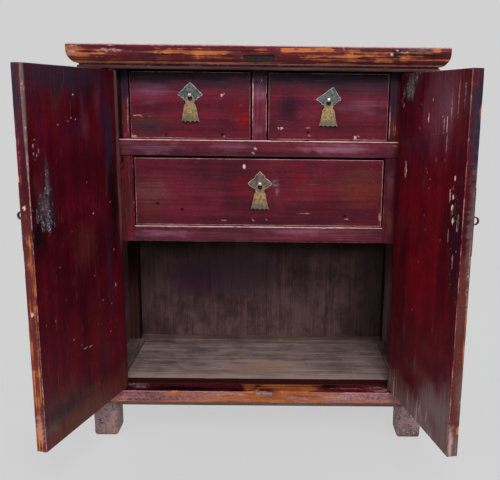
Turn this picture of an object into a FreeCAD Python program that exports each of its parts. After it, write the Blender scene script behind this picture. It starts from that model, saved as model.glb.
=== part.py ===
import FreeCAD, Part
import os
import Sketcher

# Kang cabinet: two pivoting doors over a shelf space, two small drawers above one wide drawer.
# Origin at the middle of the floor under the carcass, +X to the right, +Y to the back, +Z up.
# All lengths are in millimetres and all angles in degrees.

SIZES = {
    # carcass
    "case_width": 690,
    "case_depth": 298,
    "case_height": 802,
    "post_side": 50,
    "post_arris_radius": 8,
    "foot_round": 5,
    "post_tenon": 24,
    "post_tenon_height": 22,
    # top frame and its panel
    "top_overhang": 15,
    "frame_width": 65,
    "cap_height": 35,
    "cap_face_height": 12.5,
    "cap_setback": 12.5,
    "bead_height": 9.5,
    "bead_round": 1.5,
    "bead_radius": 4.8,
    "bead_groove_height": 3.5,
    "bead_groove_depth": 3.5,
    "top_panel_thickness": 14,
    "top_panel_gap": 0.4,
    "top_tongue_height": 7,
    # sill under the doors
    "sill_bottom": 69,
    "sill_height": 35,
    "sill_bevel_height": 11,
    "sill_bevel_depth": 6,
    "sill_shoulder_reach": 15.5,
    "sill_shoulder_depth": 10,
    "sill_tenon_setback": 17,
    "sill_tenon_thickness": 18,
    "sill_tenon_length": 20,
    "sill_tenon_shoulder": 7,
    # bottom rails at the sides and the back
    "low_rail_above_floor": 9,
    "low_rail_height": 45,
    "side_rail_inset": 10,
    "rail_tenon_length": 12,
    "rail_tenon_thickness": 14,
    "rail_tenon_shoulder": 6,
    "side_tenon_offset": 24,
    "back_tenon_setback": 16,
    # boards that close the carcass
    "tongue": 8,
    "side_panel_thickness": 10,
    "side_panel_recess": 17,
    "back_panel_thickness": 10,
    "back_panel_recess": 9,
    "floor_thickness": 14,
    "floor_front_setback": 35.6,
    # face frame of the drawers
    "face_setback": 33,
    "rail_depth": 40,
    "small_opening_height": 133.5,
    "upper_rail_height": 34,
    "wide_opening_height": 140,
    "lower_rail_height": 33,
    "upper_lap": 10,
    "lower_lap": 7,
    "face_tenon_thickness": 7,
    "face_tenon_shoulder": 5,
    "stile_thickness": 20,
    "upper_stile_width": 39,
    "lower_stile_width": 43.5,
    "divider_half": 15,
    # runners
    "runner_height": 20,
    "guide_height": 12,
    "guide_gap": 1.2,
    "runner_under_drawer": 16,
    "runner_panel_gap": 8,
    "centre_runner_half": 30,
    "back_drawer_rail_height": 30,
    "back_drawer_rail_depth": 25,
    # drawers
    "drawer_rear_gap": 46,
    "drawer_side_gap": 2.2,
    "drawer_top_gap": 2.6,
    "drawer_foot_gap": 1,
    "running_gap": 0.3,
    "drawer_front_thickness": 18,
    "drawer_side_thickness": 11,
    "drawer_side_drop": 6,
    "drawer_back_thickness": 10,
    "drawer_back_drop": 10,
    "drawer_lap": 12,
    "tail_neck_half": 9,
    "tail_end_half": 13,
    "drawer_bottom_thickness": 7,
    "drawer_bottom_rise": 8,
    "drawer_groove": 5,
    # doors
    "door_thickness": 20,
    "door_foot_gap": 5,
    "door_head_gap": 3,
    "door_post_gap": 2.5,
    "door_meeting_half_gap": 0.5,
    "pivot_radius": 6,
    "pivot_length": 16,
    "pivot_clearance": 0.1,
    "pivot_end_gap": 0.2,
    "left_door_angle": 106,
    "right_door_angle": 102,
    # drawer pulls
    "left_pull_drop": 47.3,
    "right_pull_drop": 53.6,
    "wide_pull_drop": 52.5,
    "wide_pull_offset": 1.8,
    "plate_thickness": 1.2,
    "plate_half_width": 24.8,
    "plate_rise": 24.8,
    "eye_radius": 4,
    "eye_wall": 1.1,
    "eye_width": 5.5,
    "eye_gap": 0.3,
    "shank_height": 2.2,
    "clinch_length": 24,
    "pendant_thickness": 1.2,
    "pendant_gap": 0.4,
    "pendant_bridge": 2.4,
    "pendant_hole_half": 4.25,
    "pendant_hole_depth": 9.5,
    "pendant_tab_radius": 10.2,
    "pendant_drop": 53,
    "pendant_half_width": 18.6,
    "scallop_radius": 6.2,
    # closing hardware on the outside of the doors
    "door_plate_radius": 55,
    "door_plate_edge": 1.5,
    "door_plate_above_middle": 84.25,
    "door_eye_from_edge": 14,
    "door_eye_radius": 7,
    "door_eye_wall": 2,
    "door_eye_width": 5,
    "door_shank_height": 4,
    # small iron plates on the top and on the sill
    "trim_thickness": 1.2,
    "top_trim_width": 57,
    "top_trim_height": 12,
    "top_trim_drop": 18,
    "top_trim_sunk": 3.4,
    "sill_trim_left": -1.5,
    "sill_trim_width": 31.5,
    "sill_trim_height": 5,
    "sill_trim_drop": 2.4,
    "sill_trim_proud": 0.4,
}

# Outlines as shares of the sizes that they follow, right half from the top down.
SMALL_PLATE_SHARES = [(0.42, 0.61), (0.47, 0.53), (0.76, 0.25), (1, 0), (0.9, -0.14), (0.55, -0.4)]
WIDE_PLATE_SHARES = [(0.4, 0.62), (0.44, 0.45), (0.7, 0.3), (1, 0), (0.88, -0.16), (0.57, -0.38)]
PLATE_FOOT_SHARE = 0.72
PENDANT_SHARES = [(0.7, 0.28), (0.83, 0.64), (0.87, 0.82)]
TAB_REACH_SHARE = 0.98
TAB_DROP_SHARE = 0.8
TAIL_SHARES = (0.28, 0.72)
SCALLOPS = 4
SIDES = (("left", -1), ("right", 1))

doc = FreeCAD.newDocument("KangCabinet")
sheet = doc.addObject("Spreadsheet::Sheet", "Sizes")
parts = {}


class Size:
    """A number together with the sheet formula that gives it."""

    def __init__(self, value, formula):
        self.value = value
        self.formula = formula

    def __add__(self, other):
        return combined(self, "+", other, self.value + value_of(other))

    def __sub__(self, other):
        return combined(self, "-", other, self.value - value_of(other))

    def __mul__(self, other):
        return combined(self, "*", other, self.value * value_of(other))

    def __truediv__(self, other):
        return combined(self, "/", other, self.value / value_of(other))

    def __neg__(self):
        return Size(-self.value, f"(0 - {self.formula})")


def value_of(item):
    return item.value if isinstance(item, Size) else item


def formula_of(item):
    return item.formula if isinstance(item, Size) else str(item)


def combined(first, sign, other, value):
    return Size(value, f"({first.formula} {sign} {formula_of(other)})")


def fill_sheet():
    """Write each driving size into the sheet and return it under its own name."""
    for row, (alias, number) in enumerate(SIZES.items(), 1):
        sheet.set(f"A{row}", alias.replace("_", " "))
        sheet.set(f"B{row}", str(number))
        sheet.setAlias(f"B{row}", alias)
    doc.recompute()
    return {alias: Size(float(sheet.get(alias)), f"Sizes.{alias}") for alias in SIZES}


def bind(item, prop, size):
    item.setExpression(prop, formula_of(size))


def place(item, x, y, z, angle=None):
    """Bind the item's position, and its turn about the upright axis if there is one."""
    if angle is not None:
        item.Placement = FreeCAD.Placement(
            FreeCAD.Vector(), FreeCAD.Rotation(FreeCAD.Vector(0, 0, 1), value_of(angle))
        )
        bind(item, ".Placement.Rotation.Angle", angle)
    bind(item, ".Placement.Base.x", x)
    bind(item, ".Placement.Base.y", y)
    bind(item, ".Placement.Base.z", z)


def box(name, x, y, z):
    """Add a box between the low and the high end given for each axis."""
    solid = doc.addObject("Part::Box", name)
    place(solid, x[0], y[0], z[0])
    bind(solid, "Length", x[1] - x[0])
    bind(solid, "Width", y[1] - y[0])
    bind(solid, "Height", z[1] - z[0])
    return solid


def upright_cylinder(name, radius, x, y, z):
    """Add a cylinder that stands between the low and the high end given in z."""
    solid = doc.addObject("Part::Cylinder", name)
    place(solid, x, y, z[0])
    bind(solid, "Radius", radius)
    bind(solid, "Height", z[1] - z[0])
    return solid


def cross_cylinder(name, radius, x, y, z):
    """Add a cylinder that lies along X between the low and the high end given in x."""
    solid = doc.addObject("Part::Cylinder", name)
    solid.Placement = FreeCAD.Placement(
        FreeCAD.Vector(), FreeCAD.Rotation(FreeCAD.Vector(0, 1, 0), 90)
    )
    place(solid, x[0], y, z)
    bind(solid, "Radius", radius)
    bind(solid, "Height", x[1] - x[0])
    return solid


def fused(name, items):
    if len(items) == 1:
        return items[0]
    solid = doc.addObject("Part::MultiFuse", name)
    solid.Shapes = items
    solid.Refine = True
    return solid


def cut(name, base, tools):
    """Cut all the tools from the base."""
    solid = doc.addObject("Part::Cut", name)
    solid.Base = base
    solid.Tool = fused(name + "_tools", tools)
    return solid


def common(name, first, second):
    solid = doc.addObject("Part::Common", name)
    solid.Base = first
    solid.Tool = second
    return solid


def sided(side, low, high):
    """A range of X on the right, or its mirror image on the left."""
    return (low, high) if side > 0 else (-high, -low)


def both_ways(half):
    return (-half, half)


def sub_part(label, item):
    """Name a finished sub-part; the label also names its file."""
    item.Label = label
    parts[label] = item
    return item


def arc_middle(start, end, radius, turn):
    """The middle of a short arc; turn is 1 where it bulges to the right of its run, else -1."""
    run = end - start
    half = run.Length / 2
    rise = radius - max(radius * radius - half * half, 0) ** 0.5
    across = FreeCAD.Vector(run.y, -run.x, 0).normalize()
    return (start + end) * 0.5 + across * (rise * turn)


def outline(body, plane, points, lift=0):
    """Sketch a closed outline on an origin plane of the body.

    Each point holds its two places, and where an arc starts there, its radius and its turn.
    """
    sketch = body.newObject("Sketcher::SketchObject", body.Name + "_outline")
    origin = {feature.Role: feature for feature in body.Origin.OriginFeatures}
    sketch.AttachmentSupport = [(origin[plane + "_Plane"], "")]
    sketch.MapMode = "FlatFace"
    if value_of(lift):
        bind(sketch, ".AttachmentOffset.Base.z", lift)
    corners = [FreeCAD.Vector(value_of(p[0]), value_of(p[1]), 0) for p in points]
    ends = []
    for index, point in enumerate(points):
        here = corners[index]
        there = corners[(index + 1) % len(points)]
        if len(point) == 4:
            middle = arc_middle(here, there, value_of(point[2]), point[3])
            sketch.addGeometry(Part.Arc(here, middle, there))
        else:
            sketch.addGeometry(Part.LineSegment(here, there))
        near = (sketch.getPoint(index, 1) - here).Length < (sketch.getPoint(index, 2) - here).Length
        ends.append((1, 2) if near else (2, 1))
    for index, point in enumerate(points):
        after = (index + 1) % len(points)
        start, end = ends[index]
        sketch.addConstraint(Sketcher.Constraint("Coincident", index, end, after, ends[after][0]))
        bind_constraint(sketch, ("DistanceX", index, start), f"across_{index}", point[0])
        bind_constraint(sketch, ("DistanceY", index, start), f"along_{index}", point[1])
        if len(point) == 4:
            bind_constraint(sketch, ("Radius", index), f"radius_{index}", point[2])
    return sketch


def bind_constraint(sketch, kind, name, size):
    number = sketch.addConstraint(Sketcher.Constraint(*kind, float(value_of(size))))
    sketch.renameConstraint(number, name)
    bind(sketch, "Constraints." + name, size)


def prism(name, plane, points, length, lift=0, symmetric=False):
    """Add a body padded from an outline, along the plane's own normal."""
    body = doc.addObject("PartDesign::Body", name)
    sketch = outline(body, plane, points, lift)
    pad = body.newObject("PartDesign::Pad", name + "_pad")
    pad.Profile = sketch
    if symmetric:
        pad.SideType = "Symmetric"
    bind(pad, "Length", length)
    return body


def rounded_foot(body, radius):
    """Round the edges of the body's lowest face."""
    doc.recompute()
    pad = body.Tip
    low = pad.Shape.BoundBox.ZMin
    names = []
    for number, edge in enumerate(pad.Shape.Edges, 1):
        if edge.BoundBox.ZMax - low < Part.Precision.confusion():
            names.append(f"Edge{number}")
    fillet = body.newObject("PartDesign::Fillet", body.Name + "_foot")
    fillet.Base = (pad, names)
    bind(fillet, "Radius", radius)


def with_places(sizes):
    """Places that follow from the driving sizes."""
    s = sizes
    s["half_case"] = s["case_width"] / 2
    s["front"] = -s["case_depth"] / 2
    s["back"] = s["case_depth"] / 2
    s["inner_x"] = s["half_case"] - s["post_side"]
    s["post_rear"] = s["front"] + s["post_side"]
    s["back_post_front"] = s["back"] - s["post_side"]
    add_levels(s)
    add_depths(s)
    s["side_panel_outer"] = s["half_case"] - s["side_panel_recess"]
    s["side_panel_inner"] = s["side_panel_outer"] - s["side_panel_thickness"]
    s["side_rail_inner"] = s["inner_x"] - s["side_rail_inset"]
    s["upper_opening_half"] = s["inner_x"] - s["upper_stile_width"]
    s["lower_opening_half"] = s["inner_x"] - s["lower_stile_width"]
    s["runner_outer"] = s["side_panel_inner"] - s["runner_panel_gap"]
    s["pivot_x"] = s["inner_x"] - s["door_post_gap"] - s["door_thickness"] / 2
    return s


def add_levels(s):
    """Heights: the top and the drawer face hang from the case height, the rest stands on the sill."""
    s["top_height"] = s["cap_height"] + s["bead_height"]
    s["frame_bottom"] = s["case_height"] - s["top_height"]
    s["upper_rail_top"] = s["frame_bottom"] - s["small_opening_height"]
    s["upper_rail_bottom"] = s["upper_rail_top"] - s["upper_rail_height"]
    s["lower_rail_top"] = s["upper_rail_bottom"] - s["wide_opening_height"]
    s["lower_rail_bottom"] = s["lower_rail_top"] - s["lower_rail_height"]
    s["sill_top"] = s["sill_bottom"] + s["sill_height"]
    s["low_rail_top"] = s["sill_top"] + s["floor_thickness"] + s["low_rail_above_floor"]
    s["low_rail_bottom"] = s["low_rail_top"] - s["low_rail_height"]
    s["door_low"] = s["sill_top"] + s["door_foot_gap"]
    s["door_high"] = s["frame_bottom"] - s["door_head_gap"]
    s["door_plate_z"] = (s["door_low"] + s["door_high"]) / 2 + s["door_plate_above_middle"]


def add_depths(s):
    """Places along the depth, from the doors' pivots to the back panel."""
    s["face"] = s["front"] + s["face_setback"]
    s["rail_rear"] = s["face"] + s["rail_depth"]
    s["back_panel_outer"] = s["back"] - s["back_panel_recess"]
    s["back_panel_inner"] = s["back_panel_outer"] - s["back_panel_thickness"]
    s["drawer_rear"] = s["back_panel_inner"] - s["drawer_rear_gap"]
    s["pivot_y"] = s["front"] + s["door_thickness"] / 2
    s["eye_y"] = -(s["plate_thickness"] + s["eye_gap"] + s["eye_radius"])
    s["bridge_low"] = s["eye_wall"] + s["pendant_gap"] - s["eye_radius"]


s = with_places(fill_sheet())
ZERO = Size(0, "0")


def front_shoulder(label, side):
    """The pointed end of the sill that laps over a front post, bevelled as the sill is."""
    bevel_top = s["sill_bottom"] + s["sill_bevel_height"]
    points = [
        (s["inner_x"] * side, s["sill_bottom"]),
        ((s["inner_x"] + s["sill_shoulder_reach"]) * side, bevel_top),
        (s["inner_x"] * side, s["sill_top"]),
    ]
    wedge = prism(label, "XZ", points, s["sill_shoulder_depth"])
    place(wedge, ZERO, s["front"] + s["sill_shoulder_depth"], ZERO)
    return wedge


def sill_bevel():
    """What is planed off the sill's lower front arris over its whole length."""
    low = s["sill_bottom"]
    points = [
        (s["front"], low),
        (s["front"] + s["sill_bevel_depth"], low),
        (s["front"], low + s["sill_bevel_height"]),
    ]
    return prism("bevel_waste", "YZ", points, s["case_width"], symmetric=True)


def tenon(name, side, length, y, z):
    """A tenon that runs from a post's inner face into the post."""
    return box(name, sided(side, s["inner_x"], s["inner_x"] + length), y, z)


def tenon_pair(name, row, y, z):
    """A rail's two tenons, each under the name of the post that it enters."""
    return {
        row + hand: [tenon(f"{name}_{hand}", side, s["rail_tenon_length"], y, z)]
        for hand, side in SIDES
    }


def stub_pair(name, side, x, z):
    """The two tenons of a side rail, one into the front post and one into the back post."""
    length = s["rail_tenon_length"]
    near = box(name + "_near", sided(side, *x), (s["post_rear"] - length, s["post_rear"]), z)
    far_end = s["back_post_front"]
    far = box(name + "_far", sided(side, *x), (far_end, far_end + length), z)
    return near, far


def make_sill():
    """The sill carries both lower door pivots and the front of the floor board."""
    bevel = sill_bevel()
    low = s["front"] + s["sill_tenon_setback"]
    y = (low, low + s["sill_tenon_thickness"])
    z = (s["sill_bottom"] + s["sill_tenon_shoulder"], s["sill_top"] - s["sill_tenon_shoulder"])
    ends = {}
    sockets = []
    for name, side in SIDES:
        shoulder = cut(f"shoulder_{name}", front_shoulder(f"wedge_{name}", side), [bevel])
        end = tenon(f"sill_tenon_{name}", side, s["sill_tenon_length"], y, z)
        ends["front_" + name] = [shoulder, end]
        sockets.append(pivot_socket(f"sill_socket_{name}", side, s["sill_top"], -1))
    height = (s["sill_bottom"], s["sill_top"])
    beam = box("sill_beam", both_ways(s["inner_x"]), (s["front"], s["post_rear"]), height)
    planed = cut("sill_planed", beam, [bevel])
    whole = fused("sill_whole", [planed] + ends["front_left"] + ends["front_right"])
    sub_part("sill", cut("sill_cut", whole, sockets + [sill_trim()]))
    return ends


def pivot_socket(name, side, mouth, way):
    """A socket for a door pivot, from its mouth up or down into the wood."""
    gap = s["door_foot_gap"] if way < 0 else s["door_head_gap"]
    depth = s["pivot_length"] - gap + s["pivot_end_gap"]
    z = (mouth - depth, mouth) if way < 0 else (mouth, mouth + depth)
    radius = s["pivot_radius"] + s["pivot_clearance"]
    return upright_cylinder(name, radius, s["pivot_x"] * side, s["pivot_y"], z)


def sill_trim():
    """A thin iron strip let into the sill's face."""
    x = (s["sill_trim_left"], s["sill_trim_left"] + s["sill_trim_width"])
    low = s["front"] - s["sill_trim_proud"]
    high = s["sill_top"] - s["sill_trim_drop"]
    z = (high - s["sill_trim_height"], high)
    return sub_part("sill_plate", box("sill_strip", x, (low, low + s["trim_thickness"]), z))


def top_trim():
    """A thin iron plate let into the front edge of the top."""
    low = s["front"] - s["top_overhang"] + s["top_trim_sunk"]
    high = s["case_height"] - s["top_trim_drop"]
    z = (high - s["top_trim_height"], high)
    x = both_ways(s["top_trim_width"] / 2)
    plate = box("top_strip", x, (low, low + s["trim_thickness"]), z)
    sub_part("top_edge_plate", plate)
    edge = s["front"] - s["top_overhang"]
    recess = box("top_strip_recess", x, (edge, low + s["trim_thickness"]), z)
    return recess


def low_rail_heights():
    """The height of the low rails and the height of their tenons."""
    low = s["low_rail_bottom"]
    shoulder = s["rail_tenon_shoulder"]
    return (low, s["low_rail_top"]), (low + shoulder, s["sill_top"] + shoulder)


def make_side_rails(panels, floor):
    """Side rails at the floor, with a tenon into the post at each end."""
    height, tenon_height = low_rail_heights()
    length = (s["post_rear"], s["back_post_front"])
    low = s["half_case"] - s["side_tenon_offset"]
    x = (low, low + s["rail_tenon_thickness"])
    ends = {}
    for name, side in SIDES:
        near, far = stub_pair(f"side_tenon_{name}", side, x, tenon_height)
        across = sided(side, s["side_rail_inner"], s["half_case"])
        beam = box(f"side_beam_{name}", across, length, height)
        whole = fused(f"side_rail_whole_{name}", [beam, near, far])
        sub_part(f"side_rail_{name}", cut(f"side_rail_cut_{name}", whole, [panels[name], floor]))
        ends["front_" + name] = [near]
        ends["back_" + name] = [far]
    return ends


def make_back_rail(panel, floor):
    """The rail at the back of the floor, with a tenon into each back post."""
    height, tenon_height = low_rail_heights()
    low = s["back_post_front"] + s["back_tenon_setback"]
    y = (low, low + s["rail_tenon_thickness"])
    beam = box("back_beam", both_ways(s["inner_x"]), (s["back_post_front"], s["back"]), height)
    ends = tenon_pair("back_tenon", "back_", y, tenon_height)
    whole = fused("back_rail_whole", [beam] + ends["back_left"] + ends["back_right"])
    sub_part("back_rail_bottom", cut("back_rail_cut", whole, [panel, floor]))
    return ends


def side_and_back_panels():
    """Upright boards whose tongues enter the posts, the low rails and the top frame."""
    z = (s["low_rail_top"] - s["tongue"], s["frame_bottom"] + s["tongue"])
    y = (s["post_rear"] - s["tongue"], s["back_post_front"] + s["tongue"])
    panels = {}
    for name, side in SIDES:
        x = sided(side, s["side_panel_inner"], s["side_panel_outer"])
        panels[name] = sub_part(f"side_panel_{name}", box(f"side_board_{name}", x, y, z))
    x = both_ways(s["inner_x"] + s["tongue"])
    y = (s["back_panel_inner"], s["back_panel_outer"])
    panels["back"] = sub_part("back_panel", box("back_board", x, y, z))
    return panels


def make_floor():
    """The floor board lies on the sill and is housed in the side and back rails."""
    z = (s["sill_top"], s["sill_top"] + s["floor_thickness"])
    front = s["front"] + s["floor_front_setback"]
    nose = box("floor_nose", both_ways(s["side_rail_inner"]), (front, s["post_rear"]), z)
    x = both_ways(s["side_rail_inner"] + s["tongue"])
    field = box("floor_field", x, (s["post_rear"], s["back_post_front"] + s["tongue"]), z)
    return sub_part("floor_board", fused("floor_whole", [nose, field]))


def make_upper_face_rail():
    """The rail under the small drawers; its front strip laps over the stiles."""
    return face_rail("upper", s["face"], s["face"] + s["upper_lap"], s["face"] + s["upper_lap"])


def make_lower_face_rail():
    """The rail under the wide drawer; its ends pass behind the stiles' front strip."""
    low = s["face"] + s["lower_lap"]
    return face_rail("lower", low, s["rail_rear"], low + s["face_tenon_thickness"])


def face_rail(level, lap_front, lap_rear, tenon_rear):
    """A rail of the drawer face: full depth between the stiles, lapped at its ends."""
    height = (s[level + "_rail_bottom"], s[level + "_rail_top"])
    shoulder = s["face_tenon_shoulder"]
    z = (height[0] + shoulder, height[1] - shoulder)
    y = (tenon_rear - s["face_tenon_thickness"], tenon_rear)
    across = both_ways(s["lower_opening_half"])
    middle = box(f"{level}_rail_middle", across, (s["face"], s["rail_rear"]), height)
    lap = box(f"{level}_rail_lap", both_ways(s["inner_x"]), (lap_front, lap_rear), height)
    ends = tenon_pair(f"{level}_tenon", "front_", y, z)
    rail = fused(f"{level}_rail", [middle, lap] + ends["front_left"] + ends["front_right"])
    return sub_part(f"drawer_rail_{level}", rail), ends


def make_face_stiles(rails):
    """Upright boards beside the drawers, notched where the rails pass."""
    step = s["upper_rail_bottom"] + s["upper_rail_height"] / 2
    y = (s["face"], s["face"] + s["stile_thickness"])
    low = (s["lower_rail_bottom"], step)
    high = (step, s["frame_bottom"])
    for name, side in SIDES:
        wide_x = sided(side, s["lower_opening_half"], s["inner_x"])
        narrow_x = sided(side, s["upper_opening_half"], s["inner_x"])
        halves = [
            box(f"stile_low_{name}", wide_x, y, low),
            box(f"stile_high_{name}", narrow_x, y, high),
        ]
        board = fused(f"stile_board_{name}", halves)
        sub_part(f"face_stile_{name}", cut(f"stile_cut_{name}", board, rails))


def make_divider():
    z = (s["upper_rail_top"], s["frame_bottom"])
    divider = box("divider", both_ways(s["divider_half"]), (s["face"], s["rail_rear"]), z)
    sub_part("drawer_divider", divider)


def make_runners():
    """Runners with a guide beside each drawer side, carried by the face rails and the back."""
    for level in ("upper", "lower"):
        side_outer = s[level + "_opening_half"] - s["drawer_side_gap"]
        inner = side_outer - s["runner_under_drawer"]
        guide = side_outer + s["guide_gap"]
        for name, side in SIDES:
            beam_x = sided(side, inner, s["runner_outer"])
            guide_x = sided(side, guide, s["runner_outer"])
            runner(f"runner_{level}_{name}", beam_x, guide_x, s[level + "_rail_top"])
    half = s["divider_half"] + s["drawer_side_gap"] - s["guide_gap"]
    beam_x = both_ways(s["centre_runner_half"])
    runner("runner_upper_centre", beam_x, both_ways(half), s["upper_rail_top"])


def runner(label, beam_x, guide_x, top):
    """One runner, level with the rail in front of it, and the guide that stands on it."""
    y = (s["rail_rear"], s["back_post_front"])
    beam = box(label + "_beam", beam_x, y, (top - s["runner_height"], top))
    guide = box(label + "_guide", guide_x, y, (top, top + s["guide_height"]))
    sub_part(label, fused(label + "_whole", [beam, guide]))


def make_back_drawer_rail():
    """The rail behind the drawers that carries the centre runner."""
    top = s["upper_rail_top"]
    height = (top - s["back_drawer_rail_height"], top)
    low = s["back_post_front"]
    beam = box("back_drawer_beam", both_ways(s["inner_x"]), (low, low + s["back_drawer_rail_depth"]), height)
    shoulder = s["face_tenon_shoulder"]
    y = (low + shoulder, low + shoulder + s["rail_tenon_thickness"])
    ends = tenon_pair("back_drawer_tenon", "back_", y, (height[0] + shoulder, height[1] - shoulder))
    rail = fused("back_drawer_rail", [beam] + ends["back_left"] + ends["back_right"])
    sub_part("back_rail_drawer", rail)
    return ends


def post_plan(side, row):
    """A post's section about its inner front corner; only front posts have the rounded arris."""
    width = s["post_side"] * side
    depth = s["post_side"]
    if row == "back":
        return [(ZERO, ZERO), (width, ZERO), (width, depth), (ZERO, depth)]
    arris = s["post_arris_radius"]
    rounded = [(ZERO, arris, arris, side), (arris * side, ZERO)]
    return rounded + [(width, ZERO), (width, depth), (ZERO, depth)]


def make_posts(entering):
    """Four square posts with rounded feet, a tenon on top and a mortise for all that enters."""
    top_tenons = {}
    inset = (s["post_side"] - s["post_tenon"]) / 2
    z = (s["frame_bottom"], s["frame_bottom"] + s["post_tenon_height"])
    for row, y in (("front", s["front"]), ("back", s["back_post_front"])):
        for name, side in SIDES:
            key = f"{row}_{name}"
            shaft = prism(f"shaft_{key}", "XY", post_plan(side, row), s["frame_bottom"])
            rounded_foot(shaft, s["foot_round"])
            place(shaft, s["inner_x"] * side, y, ZERO)
            x = sided(side, s["inner_x"] + inset, s["half_case"] - inset)
            depth = (y + inset, y + inset + s["post_tenon"])
            top_tenons[key] = box(f"top_tenon_{key}", x, depth, z)
            whole = fused(f"post_whole_{key}", [shaft, top_tenons[key]])
            sub_part(f"post_{key}", cut(f"post_cut_{key}", whole, entering[key]))
    return top_tenons


def frame_profile():
    """Section of a top frame member, from its outer edge inwards: bead, groove, cap."""
    total = s["top_height"]
    bead = s["top_overhang"]
    rise = s["cap_height"] - s["cap_face_height"]
    setback = s["cap_setback"]
    cap_radius = (setback * setback + rise * rise) / (setback * 2)
    ledge = s["bead_height"] - s["bead_groove_height"]
    groove = bead + s["bead_groove_depth"]
    inner = s["frame_width"]
    slot = inner - s["tongue"]
    slot_low = total - s["top_panel_thickness"]
    slot_high = slot_low + s["top_tongue_height"]
    return [
        (inner, ZERO),
        (bead + s["bead_round"], ZERO, s["bead_radius"], -1),
        (bead + s["bead_round"], ledge),
        (groove, ledge),
        (groove, s["bead_height"]),
        (setback, s["bead_height"], cap_radius, -1),
        (ZERO, s["bead_height"] + rise),
        (ZERO, total),
        (inner, total),
        (inner, slot_high),
        (slot, slot_high),
        (slot, slot_low),
        (inner, slot_low),
    ]


def make_top(top_tenons, panels):
    """The mitred top frame and the panel that it holds."""
    half_x = s["half_case"] + s["top_overhang"]
    half_y = s["case_depth"] / 2 + s["top_overhang"]
    width = s["frame_width"]
    trim = top_trim()
    sockets = [
        pivot_socket(f"top_socket_{name}", side, s["frame_bottom"], 1) for name, side in SIDES
    ]
    members = (
        ("front", half_x, ZERO, -half_y, 0, ("front_left", "front_right"), sockets + [trim]),
        ("back", half_x, ZERO, half_y, 180, ("back_left", "back_right"), [panels["back"]]),
        ("left", half_y, -half_x, ZERO, -90, ("front_left", "back_left"), [panels["left"]]),
        ("right", half_y, half_x, ZERO, 90, ("front_right", "back_right"), [panels["right"]]),
    )
    for name, half, x, y, angle, posts, extra in members:
        moulding = prism(f"moulding_{name}", "YZ", frame_profile(), half * 2, symmetric=True)
        plan = [(-half, ZERO), (half, ZERO), (half - width, width), (width - half, width)]
        mitres = prism(f"mitres_{name}", "XY", plan, s["top_height"])
        member = common(f"member_{name}", moulding, mitres)
        place(member, x, y, s["frame_bottom"], angle)
        tools = [top_tenons[key] for key in posts] + extra
        sub_part(f"top_frame_{name}", cut(f"member_cut_{name}", member, tools))
    make_top_panel(half_x - width, half_y - width)


def make_top_panel(half_x, half_y):
    low = s["case_height"] - s["top_panel_thickness"]
    gap = s["top_panel_gap"]
    face = box("top_field", both_ways(half_x - gap), both_ways(half_y - gap), (low, s["case_height"]))
    tongue_z = (low, low + s["top_tongue_height"])
    reach = s["tongue"]
    edge = box("top_tongue", both_ways(half_x + reach), both_ways(half_y + reach), tongue_z)
    sub_part("top_panel", fused("top_panel_whole", [face, edge]))


def tailed_side(name, x_low, y, z):
    """A drawer side with dovetails at both ends; y and z are its full reach."""
    near = s["face"] + s["drawer_front_thickness"]
    far = y[1] - s["drawer_back_thickness"]
    height = z[1] - z[0]
    tails = [z[0] + height * share for share in TAIL_SHARES]
    front_end = [(near, z[0])] + tail_points(y[0], near, tails, 1) + [(near, z[1])]
    back_end = [(far, z[1])] + tail_points(y[1], far, tails[::-1], -1) + [(far, z[0])]
    return prism(name, "YZ", front_end + back_end, s["drawer_side_thickness"], lift=x_low)


def tail_points(end, shoulder, centres, way):
    """Corners of the dovetails at one end of a side, listed upwards or downwards."""
    points = []
    for centre in centres:
        points.append((shoulder, centre - s["tail_neck_half"] * way))
        points.append((end, centre - s["tail_end_half"] * way))
        points.append((end, centre + s["tail_end_half"] * way))
        points.append((shoulder, centre + s["tail_neck_half"] * way))
    return points


def make_drawer(label, x, level_bottom, level_top, pull):
    """One drawer: front, two sides, back and bottom, with its pull."""
    rear = s["drawer_rear"]
    front_z = (level_bottom + s["drawer_foot_gap"], level_top - s["drawer_top_gap"])
    side_z = (level_bottom + s["running_gap"], front_z[1] - s["drawer_side_drop"])
    side_y = (s["face"] + s["drawer_front_thickness"] - s["drawer_lap"], rear)
    wall = s["drawer_side_thickness"]
    sides = {
        "left": tailed_side(f"{label}_left_board", x[0], side_y, side_z),
        "right": tailed_side(f"{label}_right_board", x[1] - wall, side_y, side_z),
    }
    groove = s["drawer_groove"]
    floor_low = side_z[0] + s["drawer_bottom_rise"]
    bottom = box(
        f"{label}_bottom_board",
        (x[0] + wall - groove, x[1] - wall + groove),
        (s["face"] + s["drawer_front_thickness"] - groove, rear - s["drawer_back_thickness"] + groove),
        (floor_low, floor_low + s["drawer_bottom_thickness"]),
    )
    sub_part(f"{label}_bottom", bottom)
    front_y = (s["face"], s["face"] + s["drawer_front_thickness"])
    back_y = (rear - s["drawer_back_thickness"], rear)
    back_z = (side_z[0], side_z[1] - s["drawer_back_drop"])
    front_board = box(f"{label}_front_board", x, front_y, front_z)
    back_board = box(f"{label}_back_board", x, back_y, back_z)
    shank = make_pull(label, *pull)
    boards = list(sides.values())
    sub_part(f"{label}_front", cut(f"{label}_front_cut", front_board, boards + [bottom, shank]))
    sub_part(f"{label}_back", cut(f"{label}_back_cut", back_board, boards + [bottom]))
    for name, board in sides.items():
        sub_part(f"{label}_{name}_side", cut(f"{label}_{name}_cut", board, [bottom]))


def plate_outline(shares):
    """A lobed plate with its apex on top; the shares give its right half downwards."""
    right = [(s["plate_half_width"] * u, s["plate_rise"] * v) for u, v in shares]
    left = [(-u, v) for u, v in reversed(right)]
    foot = (ZERO, -s["plate_rise"] * PLATE_FOOT_SHARE)
    return [(ZERO, s["plate_rise"])] + right + [foot] + left


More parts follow.
